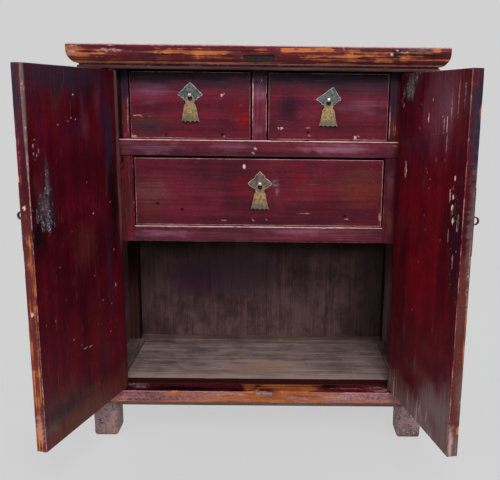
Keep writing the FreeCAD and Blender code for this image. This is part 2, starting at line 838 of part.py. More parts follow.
def eye_pin(name, centre, radius, wall, width, shank_height, plate_front, rear):
    """A strip bent to an eye, its shank through plate and wood, its end clinched at the rear."""
    x = (centre[0] - width / 2, centre[0] + width / 2)
    z = (centre[2] - shank_height / 2, centre[2] + shank_height / 2)
    ring = cross_cylinder(name + "_ring", radius, x, centre[1], centre[2])
    bore = cross_cylinder(name + "_bore", radius - wall, x, centre[1], centre[2])
    eye = cut(name + "_eye", ring, [bore])
    shank = box(name + "_shank", x, (centre[1] + radius - wall / 2, rear), z)
    clinch_z = (centre[2] - s["clinch_length"] / 2, centre[2] + s["clinch_length"] / 2)
    clinch = box(name + "_clinch", x, (rear, rear + wall), clinch_z)
    slot = box(name + "_slot", x, (plate_front, rear), z)
    return fused(name + "_whole", [eye, shank, clinch]), slot


def make_pull(label, x, z, shares):
    """A plate on the drawer front, an eye pin through both, and a pendant on the eye."""
    thickness = s["plate_thickness"]
    depth = s["drawer_front_thickness"]
    centre = (ZERO, s["eye_y"], ZERO)
    pin, slot = eye_pin(
        f"{label}_pin", centre, s["eye_radius"], s["eye_wall"], s["eye_width"], s["shank_height"],
        -thickness, depth,
    )
    plate = prism(f"{label}_plate_blank", "XZ", plate_outline(shares), thickness)
    pierced = cut(f"{label}_plate_cut", plate, [slot])
    pendant = make_pendant(f"{label}_pendant")
    for name, item in (("plate", pierced), ("pin", pin), ("pendant", pendant)):
        place(item, x, s["face"], z)
        sub_part(f"{label}_{name}", item)
    front_slot = box(
        f"{label}_front_slot",
        (x - s["eye_width"] / 2, x + s["eye_width"] / 2),
        (s["face"], s["face"] + depth),
        (z - s["shank_height"] / 2, z + s["shank_height"] / 2),
    )
    return front_slot


def pendant_outline():
    """The pendant about the eye's centre: round tab, flaring sides and a scalloped foot."""
    radius = s["pendant_tab_radius"]
    crown = s["bridge_low"] + s["pendant_bridge"]
    reach = radius * TAB_REACH_SHARE
    tab_low = crown - radius * TAB_DROP_SHARE
    right = [(s["pendant_half_width"] * u, -s["pendant_drop"] * v) for u, v in PENDANT_SHARES]
    left = [(-u, v) for u, v in reversed(right)]
    width = s["pendant_half_width"]
    foot = -s["pendant_drop"]
    step = width * 2 / SCALLOPS
    points = [(ZERO, crown, radius, -1), (reach, tab_low)] + right
    for number in range(SCALLOPS):
        points.append((width - step * number, foot, s["scallop_radius"], 1))
    points.append((-width, foot))
    points += left
    points.append((-reach, tab_low, radius, -1))
    return points


def make_pendant(name):
    """A flat brass pendant whose bridge hangs in the eye and turns there."""
    thickness = s["pendant_thickness"]
    lift = -s["eye_y"] - thickness / 2
    blank = prism(name + "_blank", "XZ", pendant_outline(), thickness, lift=lift)
    half = s["pendant_hole_half"]
    top = s["bridge_low"]
    bend = top - s["pendant_hole_depth"] + half
    points = [
        (half, top),
        (half, bend, half, 1),
        (ZERO, bend - half, half, 1),
        (-half, bend),
        (-half, top),
    ]
    hole = prism(name + "_hole", "XZ", points, thickness, lift=lift)
    return cut(name + "_cut", blank, [hole])


def door_plan(side):
    """A closed door seen from above, about its pivot, with its round hinge edge."""
    half = s["door_thickness"] / 2
    far = s["pivot_x"] - s["door_meeting_half_gap"]
    way = -side
    return [
        (ZERO, -half),
        (far * way, -half),
        (far * way, half),
        (ZERO, half, half, -way),
        (-half * way, ZERO, half, -way),
    ]


def make_door(label, side, opening):
    """One board door with its two pivots, turned open about them, and its closing hardware."""
    low = s["door_low"]
    high = s["door_high"]
    board = prism(f"{label}_board", "XY", door_plan(side), high - low, lift=low)
    radius = s["pivot_radius"]
    reach = s["pivot_length"]
    lower = upright_cylinder(f"{label}_lower_pivot", radius, ZERO, ZERO, (low - reach, low))
    upper = upright_cylinder(f"{label}_upper_pivot", radius, ZERO, ZERO, (high, high + reach))
    whole = fused(f"{label}_whole", [board, lower, upper])
    plate, pin, slot = make_door_hardware(label, side)
    door = cut(f"{label}_cut", whole, [slot])
    angle = opening * side
    for name, item in ((label, door), (f"{label}_plate", plate), (f"{label}_pin", pin)):
        place(item, s["pivot_x"] * side, s["pivot_y"], ZERO, angle)
        sub_part(name, item)


def make_door_hardware(label, side):
    """A half-round plate at the meeting edge and an eye pin that takes the lock."""
    way = -side
    half = s["door_thickness"] / 2
    plate_front = -(half + s["plate_thickness"])
    reach = s["pivot_x"] - s["door_meeting_half_gap"]
    edge = (reach - s["door_plate_edge"]) * way
    radius = s["door_plate_radius"]
    z = s["door_plate_z"]
    points = [
        (edge, z - radius, radius, -way),
        (edge - radius * way, z, radius, -way),
        (edge, z + radius),
    ]
    blank = prism(f"{label}_plate_blank", "XZ", points, s["plate_thickness"], lift=half)
    eye = s["door_eye_radius"]
    centre = ((reach - s["door_eye_from_edge"]) * way, plate_front - s["eye_gap"] - eye, z)
    pin, slot = eye_pin(
        f"{label}_eye", centre, eye, s["door_eye_wall"], s["door_eye_width"], s["door_shank_height"],
        plate_front, half,
    )
    return cut(f"{label}_plate_cut", blank, [slot]), pin, slot


def gathered(groups):
    """All the pieces that enter each post, from the groups that name them by post."""
    entering = {}
    for group in groups:
        for key, items in group.items():
            entering.setdefault(key, []).extend(items)
    return entering


def make_carcass():
    """Everything that stays still: frame, boards, drawer face, runners, posts and top."""
    panels = side_and_back_panels()
    floor = make_floor()
    sill_ends = make_sill()
    side_ends = make_side_rails(panels, floor)
    back_ends = make_back_rail(panels["back"], floor)
    upper_rail, upper_ends = make_upper_face_rail()
    lower_rail, lower_ends = make_lower_face_rail()
    make_face_stiles([upper_rail, lower_rail])
    make_divider()
    make_runners()
    drawer_back_ends = make_back_drawer_rail()
    edges = {
        "front_left": [panels["left"]],
        "front_right": [panels["right"]],
        "back_left": [panels["left"], panels["back"]],
        "back_right": [panels["right"], panels["back"]],
    }
    groups = [sill_ends, side_ends, back_ends, upper_ends, lower_ends, drawer_back_ends, edges]
    top_tenons = make_posts(gathered(groups))
    make_top(top_tenons, panels)


def make_drawers():
    """Two small drawers beside the divider and the wide one below them."""
    gap = s["drawer_side_gap"]
    inner = s["divider_half"] + gap
    outer = s["upper_opening_half"] - gap
    for name, side in SIDES:
        x = sided(side, inner, outer)
        pull_z = s["frame_bottom"] - s[f"{name}_pull_drop"]
        pull = ((x[0] + x[1]) / 2, pull_z, SMALL_PLATE_SHARES)
        make_drawer(f"{name}_drawer", x, s["upper_rail_top"], s["frame_bottom"], pull)
    pull = (s["wide_pull_offset"], s["upper_rail_bottom"] - s["wide_pull_drop"], WIDE_PLATE_SHARES)
    x = both_ways(s["lower_opening_half"] - gap)
    make_drawer("wide_drawer", x, s["lower_rail_top"], s["upper_rail_bottom"], pull)


def main():
    make_carcass()
    make_drawers()
    make_door("left_door", -1, s["left_door_angle"])
    make_door("right_door", 1, s["right_door_angle"])
    doc.recompute()


def check():
    """Stop if any object failed or any sub-part is empty or broken."""
    for item in doc.Objects:
        if {"Invalid", "Error"} & set(item.State):
            raise RuntimeError(f"{item.Label} failed: {item.State}")
    for label, item in parts.items():
        if item.Shape.isNull() or not item.Shape.isValid():
            raise RuntimeError(f"{label} has no valid shape")


def write():
    os.makedirs("parts", exist_ok=True)
    for label, item in parts.items():
        item.Shape.exportStep(f"parts/{label}.step")
    print(len(parts), "sub-parts written")


main()
check()
write()
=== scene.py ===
import math
from itertools import product

import bmesh
import bpy
import numpy as np
from mathutils import Matrix, Vector
from mathutils.geometry import delaunay_2d_cdt


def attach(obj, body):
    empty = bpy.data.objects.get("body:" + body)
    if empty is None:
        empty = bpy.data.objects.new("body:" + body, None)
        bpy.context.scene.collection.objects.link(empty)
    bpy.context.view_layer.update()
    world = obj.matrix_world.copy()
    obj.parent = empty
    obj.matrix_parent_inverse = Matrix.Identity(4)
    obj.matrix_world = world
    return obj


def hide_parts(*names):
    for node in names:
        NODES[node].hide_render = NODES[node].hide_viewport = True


# A kang cabinet with worn oxblood lacquer, dressed around its solids.
# The builders below work in millimetres, and the finished meshes are in metres.

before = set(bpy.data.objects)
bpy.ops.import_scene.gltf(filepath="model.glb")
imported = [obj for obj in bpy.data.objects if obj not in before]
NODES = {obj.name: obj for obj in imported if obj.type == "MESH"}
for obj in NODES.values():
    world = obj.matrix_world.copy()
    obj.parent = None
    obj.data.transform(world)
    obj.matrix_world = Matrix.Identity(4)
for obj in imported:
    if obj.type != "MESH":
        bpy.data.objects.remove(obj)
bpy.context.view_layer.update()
MM = 0.001

# The photograph's view: focal length and picture centre in pixels of its 500 by 480 frame.
PICTURE_WIDTH = 500
PICTURE_MIDDLE = (250.0, 240.0)
FOCAL = 672.7
CENTRE = (284.6, 240.0)
EYE = np.array([40.9, -1462.6, 705.8])
YAW, PITCH, ROLL = (math.radians(angle) for angle in (0.5, -11.9, 0.7))
SENSOR = 36.0

# Places and sizes of the cabinet, in millimetres; a pair runs from low to high.
FRONT_Y, REAR_Y = -149.0, 149.0
POST_Y = 99.0
INNER_X, OUTER_X = 295.0, 345.0
TOP_LOW = 757.5
CAP_FRONT, CAP_SIDE = 164.0, 360.0
CAP_HEIGHT = 44.5
SILL_LOW, SILL_POINT, SILL_HIGH = 69.0, 80.0, 104.0
LOW_RAIL = (82.0, 127.0)
PANEL_Z = (119.0, 765.0)
FACE_Y = -116.0
RAIL_REAR = -76.0
STILE_REAR = -96.0
UPPER_LAP, LOWER_LAP = -106.0, -109.0
LOWER_RAIL = (417.0, 450.0)
UPPER_RAIL = (590.0, 624.0)
STILE_X, UPPER_STILE_X = 251.5, 256.0
DIVIDER_X = 15.0
FIT = 0.1
DRAWER_FRONT_REAR = -98.0
DOOR_LOW, DOOR_HIGH = 109.0, 754.5
DOOR_HALF = 10.0
DOOR_REACH = 282.0
LOCK_Z = 516.0
PIVOT = (282.5, -139.0)
PIVOT_RADIUS = 6.0
PIVOT_LENGTH = 16
OPENING = {"left": 106.0, "right": 102.0}
SIDES = (("left", -1), ("right", 1))
TOWARDS_FRONT = (0, -1.0, 0)
UPWARD = (0, 0, 1.0)
PULLS = {"left": (-135.5, 710.2), "right": (135.5, 703.9), "wide": (1.8, 537.5)}


# ---- the photograph's camera

def view_axes():
    """Right, up and forward of the photograph's camera."""
    forward = np.array([
        math.sin(YAW) * math.cos(PITCH), math.cos(YAW) * math.cos(PITCH), math.sin(PITCH),
    ])
    level = np.array([math.cos(YAW), -math.sin(YAW), 0.0])
    above = np.cross(level, forward)
    right = math.cos(ROLL) * level + math.sin(ROLL) * above
    up = -math.sin(ROLL) * level + math.cos(ROLL) * above
    return right, up, forward


RIGHT, UP, FORWARD = view_axes()


def seen_at(x, y, point, normal):
    """The place on a plane that the photograph shows at pixel (x, y)."""
    ray = FORWARD + (x - CENTRE[0]) / FOCAL * RIGHT - (y - CENTRE[1]) / FOCAL * UP
    reach = np.dot(np.array(point) - EYE, normal) / np.dot(ray, normal)
    return EYE + reach * ray


def make_camera():
    data = bpy.data.cameras.new("view")
    data.sensor_width = SENSOR
    data.lens = FOCAL * SENSOR / PICTURE_WIDTH
    data.shift_x = (PICTURE_MIDDLE[0] - CENTRE[0]) / PICTURE_WIDTH
    data.shift_y = (CENTRE[1] - PICTURE_MIDDLE[1]) / PICTURE_WIDTH
    camera = bpy.data.objects.new("view", data)
    axes = Matrix([RIGHT, UP, -FORWARD]).transposed().to_4x4()
    camera.matrix_world = Matrix.Translation(Vector(EYE * MM)) @ axes
    bpy.context.scene.collection.objects.link(camera)
    bpy.context.scene.camera = camera


# ---- smooth noise on arrays of points

def lattice(x, y, z, seed):
    """A fixed value from 0 to 1 for each point of a whole-number grid."""
    mask = 0xFFFFFFFF
    h = (x * 73856093) ^ (y * 19349663) ^ (z * 83492791) ^ (seed * 974634777)
    h = ((h & mask) ^ ((h & mask) >> 13)) * 1274126177 & mask
    h = (h ^ (h >> 15)) * 2246822519 & mask
    return (h ^ (h >> 16)) / mask


def noise(points, size, seed=0, octaves=2):
    """Smooth noise from 0 to 1; size is the length of one feature along each axis."""
    p = np.asarray(points, float) / np.asarray(size, float)
    total = np.zeros(len(p))
    weight = 0.0
    for octave in range(octaves):
        q = p * 2 ** octave
        base = np.floor(q).astype(np.int64)
        x, y, z = base.T
        f = q - base
        f = f * f * (3 - 2 * f)
        level = np.zeros(len(p))
        for dx, dy, dz in product((0, 1), repeat=3):
            near_x, near_y, near_z = (np.abs(1 - d - f[:, k]) for k, d in enumerate((dx, dy, dz)))
            level += near_x * near_y * near_z * lattice(x + dx, y + dy, z + dz, seed + octave)
        total += level * 0.5 ** octave
        weight += 0.5 ** octave
    return total / weight


def line_noise(t, size, seed):
    points = np.zeros((len(t), 3))
    points[:, 0] = t
    return noise(points, (size, 1, 1), seed)


def ramp(value, low, high):
    """A smooth step from 0 at low to 1 at high."""
    f = np.clip((np.asarray(value) - low) / (high - low), 0, 1)
    return f * f * (3 - 2 * f)


def band(value, start, full, fading, stop):
    """1 from full to fading, and 0 outside start and stop."""
    return ramp(value, start, full) * ramp(-value, -stop, -fading)


def bell(*terms):
    """1 at the middle; each term is a value, its middle and the width over which it falls off."""
    return np.exp(-sum(((value - middle) / width) ** 2 for value, middle, width in terms))


# ---- long pieces of wood with worn arrises

PLANES = {"x": (1, 2, 0), "y": (2, 0, 1), "z": (0, 1, 2)}
NEAR_ARRIS = (1.2, 3.0, 6.5)
ARRIS_TURN = math.radians(28)
ARRIS_REACH = 1.5
LARGE_ROUNDING = 5.0
SHORTEST_SIDE = 2.5
NO_ARRIS = 9.0
END_STEPS = ((0.0, 1.0), (0.06, 0.66), (0.16, 0.46), (0.3, 0.286), (0.6, 0.083), (1.0, 0.0))


def spaced(length, step):
    """Distances along a side: close together near its ends, then even."""
    near = [d for d in NEAR_ARRIS if d < length / 2 - 0.6]
    start = near[-1] if near else 0.0
    middle = length - 2 * start
    count = max(1, int(round(middle / step)))
    inner = [start + middle * i / count for i in range(1, count)]
    return near + inner + [length - d for d in reversed(near)]


def stations_along(span, step, ends):
    """Places along the piece, and how far the section shrinks at each for its rounded ends."""
    low, high = span
    places = [(low + ends[0] * a, ends[0] * b) for a, b in END_STEPS]
    start, stop = low + ends[0], high - ends[1]
    places += [(start + d, 0.0) for d in spaced(stop - start, step)]
    places += [(high - ends[1] * a, ends[1] * b) for a, b in reversed(END_STEPS)]
    return np.array([p[0] for p in places]), np.array([p[1] for p in places])


def chip_profile(stations, seed, wear):
    """Depth of the chips knocked out of one arris at each place along it."""
    rng = np.random.default_rng(seed)
    length = stations[-1] - stations[0]
    depth = np.zeros(len(stations))
    for _ in range(int(length / 70 * wear) + 1):
        centre = rng.uniform(stations[0], stations[-1])
        half = rng.uniform(2.0, 9.0)
        deep = rng.uniform(0.3, 1.0) ** 2 * 2.2 * min(wear, 1.5)
        depth = np.maximum(depth, deep * np.exp(-((stations - centre) / half) ** 4))
    return depth


def arris_wear(radii, stations, shrink, wear, seed):
    """The rounding of each arris and the depth of its chips, at each place along the piece."""
    radius = np.zeros((len(radii), len(stations)))
    chips = np.zeros((len(radii), len(stations)))
    for i, usual in enumerate(radii):
        if usual <= 0:
            continue
        slow = line_noise(stations + 400, 31, seed * 31 + i)
        ripple = 0.6 * slow + 0.4 * line_noise(stations, 7, seed * 17 + i)
        worn = usual < LARGE_ROUNDING
        if worn:
            chips[i] = chip_profile(stations, seed * 101 + i, wear)
        uneven = 1 + wear * (ripple - 0.45) * (0.9 if worn else 0.15)
        radius[i] = np.maximum(usual * uneven + chips[i] * 0.8, shrink + 0.25)
    return radius, chips


def section_ring(corners, radii, sides, radius, chips):
    """The points round a section: their places, normals, distances from an arris, and chips."""
    into = corners - np.roll(corners, 1, axis=0)
    into /= np.linalg.norm(into, axis=1)[:, None]
    onto = np.roll(into, -1, axis=0)
    normal_in = np.stack([into[:, 1], -into[:, 0]], axis=1)
    normal_out = np.stack([onto[:, 1], -onto[:, 0]], axis=1)
    cross = into[:, 0] * onto[:, 1] - into[:, 1] * onto[:, 0]
    turn = np.arctan2(cross, (into * onto).sum(axis=1))
    back = radius * np.tan(np.abs(turn) / 2)[:, None]
    rows = radius.shape[1]
    pos, normals, away, chipped = [], [], [], []
    for i, corner in enumerate(corners):
        after = (i + 1) % len(corners)
        if radii[i] > 0:
            large = radii[i] >= LARGE_ROUNDING
            pieces = 7 if large else 3
            centre = corner - normal_in[i] * radius[i][:, None] - into[i] * back[i][:, None]
            for j in range(pieces + 1):
                n = spun(normal_in[i], turn[i] * j / pieces)
                pos.append(centre + n * radius[i][:, None])
                normals.append(n)
                away.append(4.0 if large else 0.0)
                chipped.append(chips[i])
        else:
            n = normal_in[i] + normal_out[i]
            pos.append(np.repeat(corner[None, :], rows, axis=0))
            normals.append(n / np.linalg.norm(n))
            away.append(0.0 if abs(turn[i]) > ARRIS_TURN else NO_ARRIS)
            chipped.append(np.zeros(rows))
        start = corner + onto[i] * back[i][:, None]
        stop = corners[after] - onto[i] * back[after][:, None]
        usual = np.linalg.norm(corners[after] - corner) - back[i].mean() - back[after].mean()
        if usual < SHORTEST_SIDE:
            continue
        for d in spaced(usual, sides[i]):
            rest = usual - d
            pos.append(start + (stop - start) * (d / usual))
            normals.append(normal_out[i])
            near = d if (turn[i] > ARRIS_TURN or radii[i] > 0) else NO_ARRIS
            far = rest if (turn[after] > ARRIS_TURN or radii[after] > 0) else NO_ARRIS
            away.append(min(near, far))
            chipped.append(chips[i] * math.exp(-d / 2.5) + chips[after] * math.exp(-rest / 2.5))
    return np.stack(pos, axis=1), np.array(normals), np.array(away), np.stack(chipped, axis=1)


def sweep(axis, span, corners, radii, sides=14.0, step=12.0, ends=(1.0, 1.0), wear=1.0, seed=1,
          sag=0.3, mitre=None, extra=()):
    """Sweep a section along an axis; every arris has its own uneven rounding.

    Corners run anticlockwise about the axis. A mitre gives the place across the section
    from which the ends are cut back at 45 degrees.
    """
    u, v, t = PLANES[axis]
    corners = np.array(corners, float)
    sides = [sides] * len(corners) if np.isscalar(sides) else list(sides)
    stations, shrink = stations_along(span, step, ends)
    if len(extra):
        usual = (stations, shrink)
        stations = np.sort(np.concatenate([stations, extra]))
        shrink = np.interp(stations, *usual)
    rows = len(stations)
    radius, chips = arris_wear(radii, stations, shrink, wear, seed)
    ring, normals, away, chipped = section_ring(corners, radii, sides, radius, chips)
    points = np.zeros((rows, len(normals), 3))
    points[:, :, u] = ring[:, :, 0] - normals[None, :, 0] * shrink[:, None]
    points[:, :, v] = ring[:, :, 1] - normals[None, :, 1] * shrink[:, None]
    if mitre is None:
        points[:, :, t] = stations[:, None]
        reach = np.minimum(stations - span[0], span[1] - stations)
    else:
        depth = ring[:, :, 0] - mitre
        share = (stations - span[0]) / (span[1] - span[0])
        points[:, :, t] = span[0] + depth + share[:, None] * (span[1] - span[0] - 2 * depth)
        reach = np.full(rows, NO_ARRIS)
    flat = points.reshape(-1, 3)
    out = np.zeros_like(points)
    out[:, :, u] = normals[None, :, 0]
    out[:, :, v] = normals[None, :, 1]
    give = noise(flat + seed * 57, 60, seed, 2) * sag
    distance = np.minimum(away[None, :], reach[:, None])
    part = {
        "co": flat - out.reshape(-1, 3) * give[:, None],
        "normal": out.reshape(-1, 3),
        "edge": np.exp(-distance / ARRIS_REACH).reshape(-1),
        "chip": np.clip(chipped.reshape(-1) / 1.2, 0, 1),
        "station": np.repeat(stations, len(normals)),
    }
    close_sweep(part, rows, len(normals), t, mitre is not None)
    return part


def ring_faces(index):
    """Faces round a tube whose rings of points are the rows of the index."""
    here, there = index[:-1], index[1:]
    quads = [here, np.roll(here, -1, axis=1), np.roll(there, -1, axis=1), there]
    return np.stack(quads, axis=-1).reshape(-1, 4).tolist()


def close_sweep(part, rows, columns, t, flat_ends):
    """Add the faces of a swept grid and close both ends."""
    index = np.arange(rows * columns).reshape(rows, columns)
    part["faces"] = ring_faces(index)
    for row, sign in ((0, -1.0), (rows - 1, 1.0)):
        ring = part["co"][index[row]]
        loop = index[row].tolist()
        if not flat_ends:
            middle = (ring.min(axis=0) + ring.max(axis=0)) / 2
            half = np.maximum((ring.max(axis=0) - ring.min(axis=0)) / 2, 0.001)
            inner = middle + (ring - middle) * np.clip(1 - 3.0 / half, 0.4, 1.0)
            first = len(part["co"])
            normal = np.zeros((columns, 3))
            normal[:, t] = sign
            added = {"co": inner, "normal": normal, "edge": np.full(columns, 0.12),
                     "chip": np.zeros(columns)}
            for key, values in added.items():
                part[key] = np.concatenate([part[key], values])
            outer, loop = loop, list(range(first, first + columns))
            for k in range(columns):
                m = (k + 1) % columns
                face = [outer[k], outer[m], loop[m], loop[k]]
                part["faces"].append(face if sign > 0 else face[::-1])
        part["faces"].append(loop if sign > 0 else loop[::-1])


def plain_part(co, normal, edge, faces):
    """A part that is rubbed evenly."""
    count = len(co)
    return {"co": co, "normal": normal, "edge": np.full(count, edge), "chip": np.zeros(count),
            "faces": faces}


def closed_part(co, normal, edge, rings):
    """An evenly rubbed part from rings of points, closed at both ends."""
    index = np.arange(len(co)).reshape(rings, -1)
    ends = [index[0].tolist()[::-1], index[-1].tolist()]
    return plain_part(co, normal, edge, ring_faces(index) + ends)


def board(axis, x, y, z, radii=1.2, **options):
    """A plain board between low and high places; radii start at the corner low in both."""
    spans = {"x": x, "y": y, "z": z}
    u, v, t = (spans["xyz"[k]] for k in PLANES[axis])
    corners = [(u[0], v[0]), (u[1], v[0]), (u[1], v[1]), (u[0], v[1])]
    radii = [radii] * 4 if np.isscalar(radii) else radii
    return sweep(axis, t, corners, radii, **options)


def spun(vector, angle):
    """A vector, of which the first two numbers are turned by an angle in radians."""
    x, y = vector[:2]
    turned_x = x * math.cos(angle) - y * math.sin(angle)
    return np.array([turned_x, x * math.sin(angle) + y * math.cos(angle), *vector[2:]])


def turned(part, degrees, origin=(0.0, 0.0, 0.0)):
    """Turn a part about the upright axis and then carry its own origin to a place."""
    a = math.radians(degrees)
    spin = np.array([[math.cos(a), -math.sin(a), 0], [math.sin(a), math.cos(a), 0], [0, 0, 1.0]])
    part["co"] = part["co"] @ spin.T + np.array(origin)
    part["normal"] = part["normal"] @ spin.T
    return part


# ---- marks seen in the photograph

CHANNELS = {
    # The fourth wear channel turns near black for real pits and dents, and also for painted shade
    # in gaps, grooves and behind the pendant's hole.
    "edge": ("wear", 0), "orange": ("wear", 1), "pale": ("wear", 2), "pit": ("wear", 3),
    # The fourth tone channel paints sheen: a pale lavender painted reflection on the lacquer, in
    # every mark and piece that uses it.
    "red": ("tone", 0), "blue": ("tone", 1), "brown": ("tone", 2), "haze": ("tone", 3),
    "grey": ("film", 0), "violet": ("film", 1), "light": ("film", 2), "deep": ("film", 3),
}
LAYERS = ("wear", "tone", "film")


def blot(data, where, sizes, channel, strength, depth, normal):
    """Spread a mark about a place: sizes are its half width and half height in millimetres."""
    offset = data["co"] - where
    normal = np.array(normal, float)
    flat = abs(normal[2]) > 0.9
    across = np.array((1.0, 0, 0)) if flat else np.cross(UPWARD, normal)
    along = np.cross(normal, across)
    distance = np.hypot(offset @ across / sizes[0], offset @ along / sizes[1])
    facing = (data["normal"] @ normal > 0.6) & (np.abs(offset @ normal) < 4.0)
    near = distance < 2.6
    if not near.any():
        return
    crisp = depth > 0 or min(sizes) < 4
    wobble = np.zeros(len(distance))
    small = max(2.0, min(sizes) * 0.7)
    if crisp:
        wobble[near] = (noise(data["co"][near], small, 77, 2) - 0.5) * 0.9
    else:
        level = flat or abs(normal[1]) > 0.9
        grain = (2.2, 1, 0.6) if level else (0.7, 0.7, 2.6)
        grain = tuple(small * length for length in grain)
        wobble[near] = (noise(data["co"][near], grain, 77, 3) - 0.5) * 1.7
    distance = distance * (1 + wobble)
    share = ramp(-distance, -1.15, -0.75) if crisp else np.exp(-distance * distance)
    share = share * facing * near
    raise_to(data, **{channel: share * strength})
    if depth:
        data["co"] = data["co"] - data["normal"] * (share * depth)[:, None]


def seen_marks(plane, normal, marks, scale=(1.0, 1.0)):
    """A painter for marks that are given by their pixels in the photograph.

    A mark has its place across and down, its width and height, all in pixels, its channel, its
    strength and perhaps its depth in millimetres. The scale gives half of a pixel's size on the
    surface in millimetres, across and up.
    """
    def paint(data):
        for x, y, wide, high, channel, strength, *depth in marks:
            where = seen_at(x, y, plane, normal)
            sizes = (wide * scale[0], high * scale[1])
            blot(data, where, sizes, channel, strength, depth[0] if depth else 0.0, normal)
    return paint


def toned(**strengths):
    """A painter for what a whole piece has in common; edge and chips scale its worn arrises."""
    def paint(data):
        for channel, strength in strengths.items():
            table, column = CHANNELS["orange" if channel == "chips" else channel]
            if channel in ("edge", "chips"):
                data[table][:, column] *= strength
            else:
                data[table][:, column] += strength
    return paint


def raise_to(data, **values):
    """Raise channels to values wherever they are lower."""
    for channel, value in values.items():
        table, column = CHANNELS[channel]
        data[table][:, column] = np.maximum(data[table][:, column], value)


def top_side(data):
    return data["normal"][:, 2] > 0.8


def front_side(data):
    return data["normal"][:, 1] < -0.5


# ---- turning parts into pieces

def joined(parts):
    data = {
        key: np.concatenate([p[key] for p in parts]) for key in ("co", "normal", "edge", "chip")
    }
    data["faces"] = []
    data["board"] = np.concatenate([np.full(len(p["co"]), 0.137 * i) for i, p in enumerate(parts)])
    start = 0
    for part in parts:
        data["faces"] += [[start + k for k in face] for face in part["faces"]]
        start += len(part["co"])
    return data


def mesh_of(name, data):
    mesh = bpy.data.meshes.new(name)
    mesh.from_pydata((data["co"] * MM).tolist(), [], data["faces"])
    for label in LAYERS:
        layer = mesh.color_attributes.new(label, "FLOAT_COLOR", "POINT")
        layer.data.foreach_set("color", np.clip(data[label], 0, 1).astype(np.float32).ravel())
    shift = mesh.attributes.new("board", "FLOAT", "POINT")
    shift.data.foreach_set("value", data["board"].astype(np.float32))
    mesh.validate()
    mesh.polygons.foreach_set("use_smooth", [True] * len(mesh.polygons))
    mesh.set_sharp_from_angle(angle=math.radians(38))
    return mesh


def piece(name, body, parts, materials, nodes, slot="lacquer", painters=(), pick=None, seed=0):
    """Make one visible piece; pick chooses a material from each face's normal and middle."""
    data = joined(parts)
    count = len(data["co"])
    data["board"] = data["board"] + 0.731 * seed
    for label in LAYERS:
        data[label] = np.zeros((count, 4))
    data["wear"][:, 0] = data["edge"]
    data["wear"][:, 1] = data["chip"] * 0.5
    for painter in painters:
        painter(data)
    mesh = mesh_of(name, data)
    for material in materials:
        mesh.materials.append(material)
    if pick is not None:
        for polygon in mesh.polygons:
            polygon.material_index = pick(polygon.normal, polygon.center)
    item = bpy.data.objects.new(name, mesh)
    bpy.context.scene.collection.objects.link(item)
    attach(item, body)
    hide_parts(*nodes)
    return item


# ---- materials

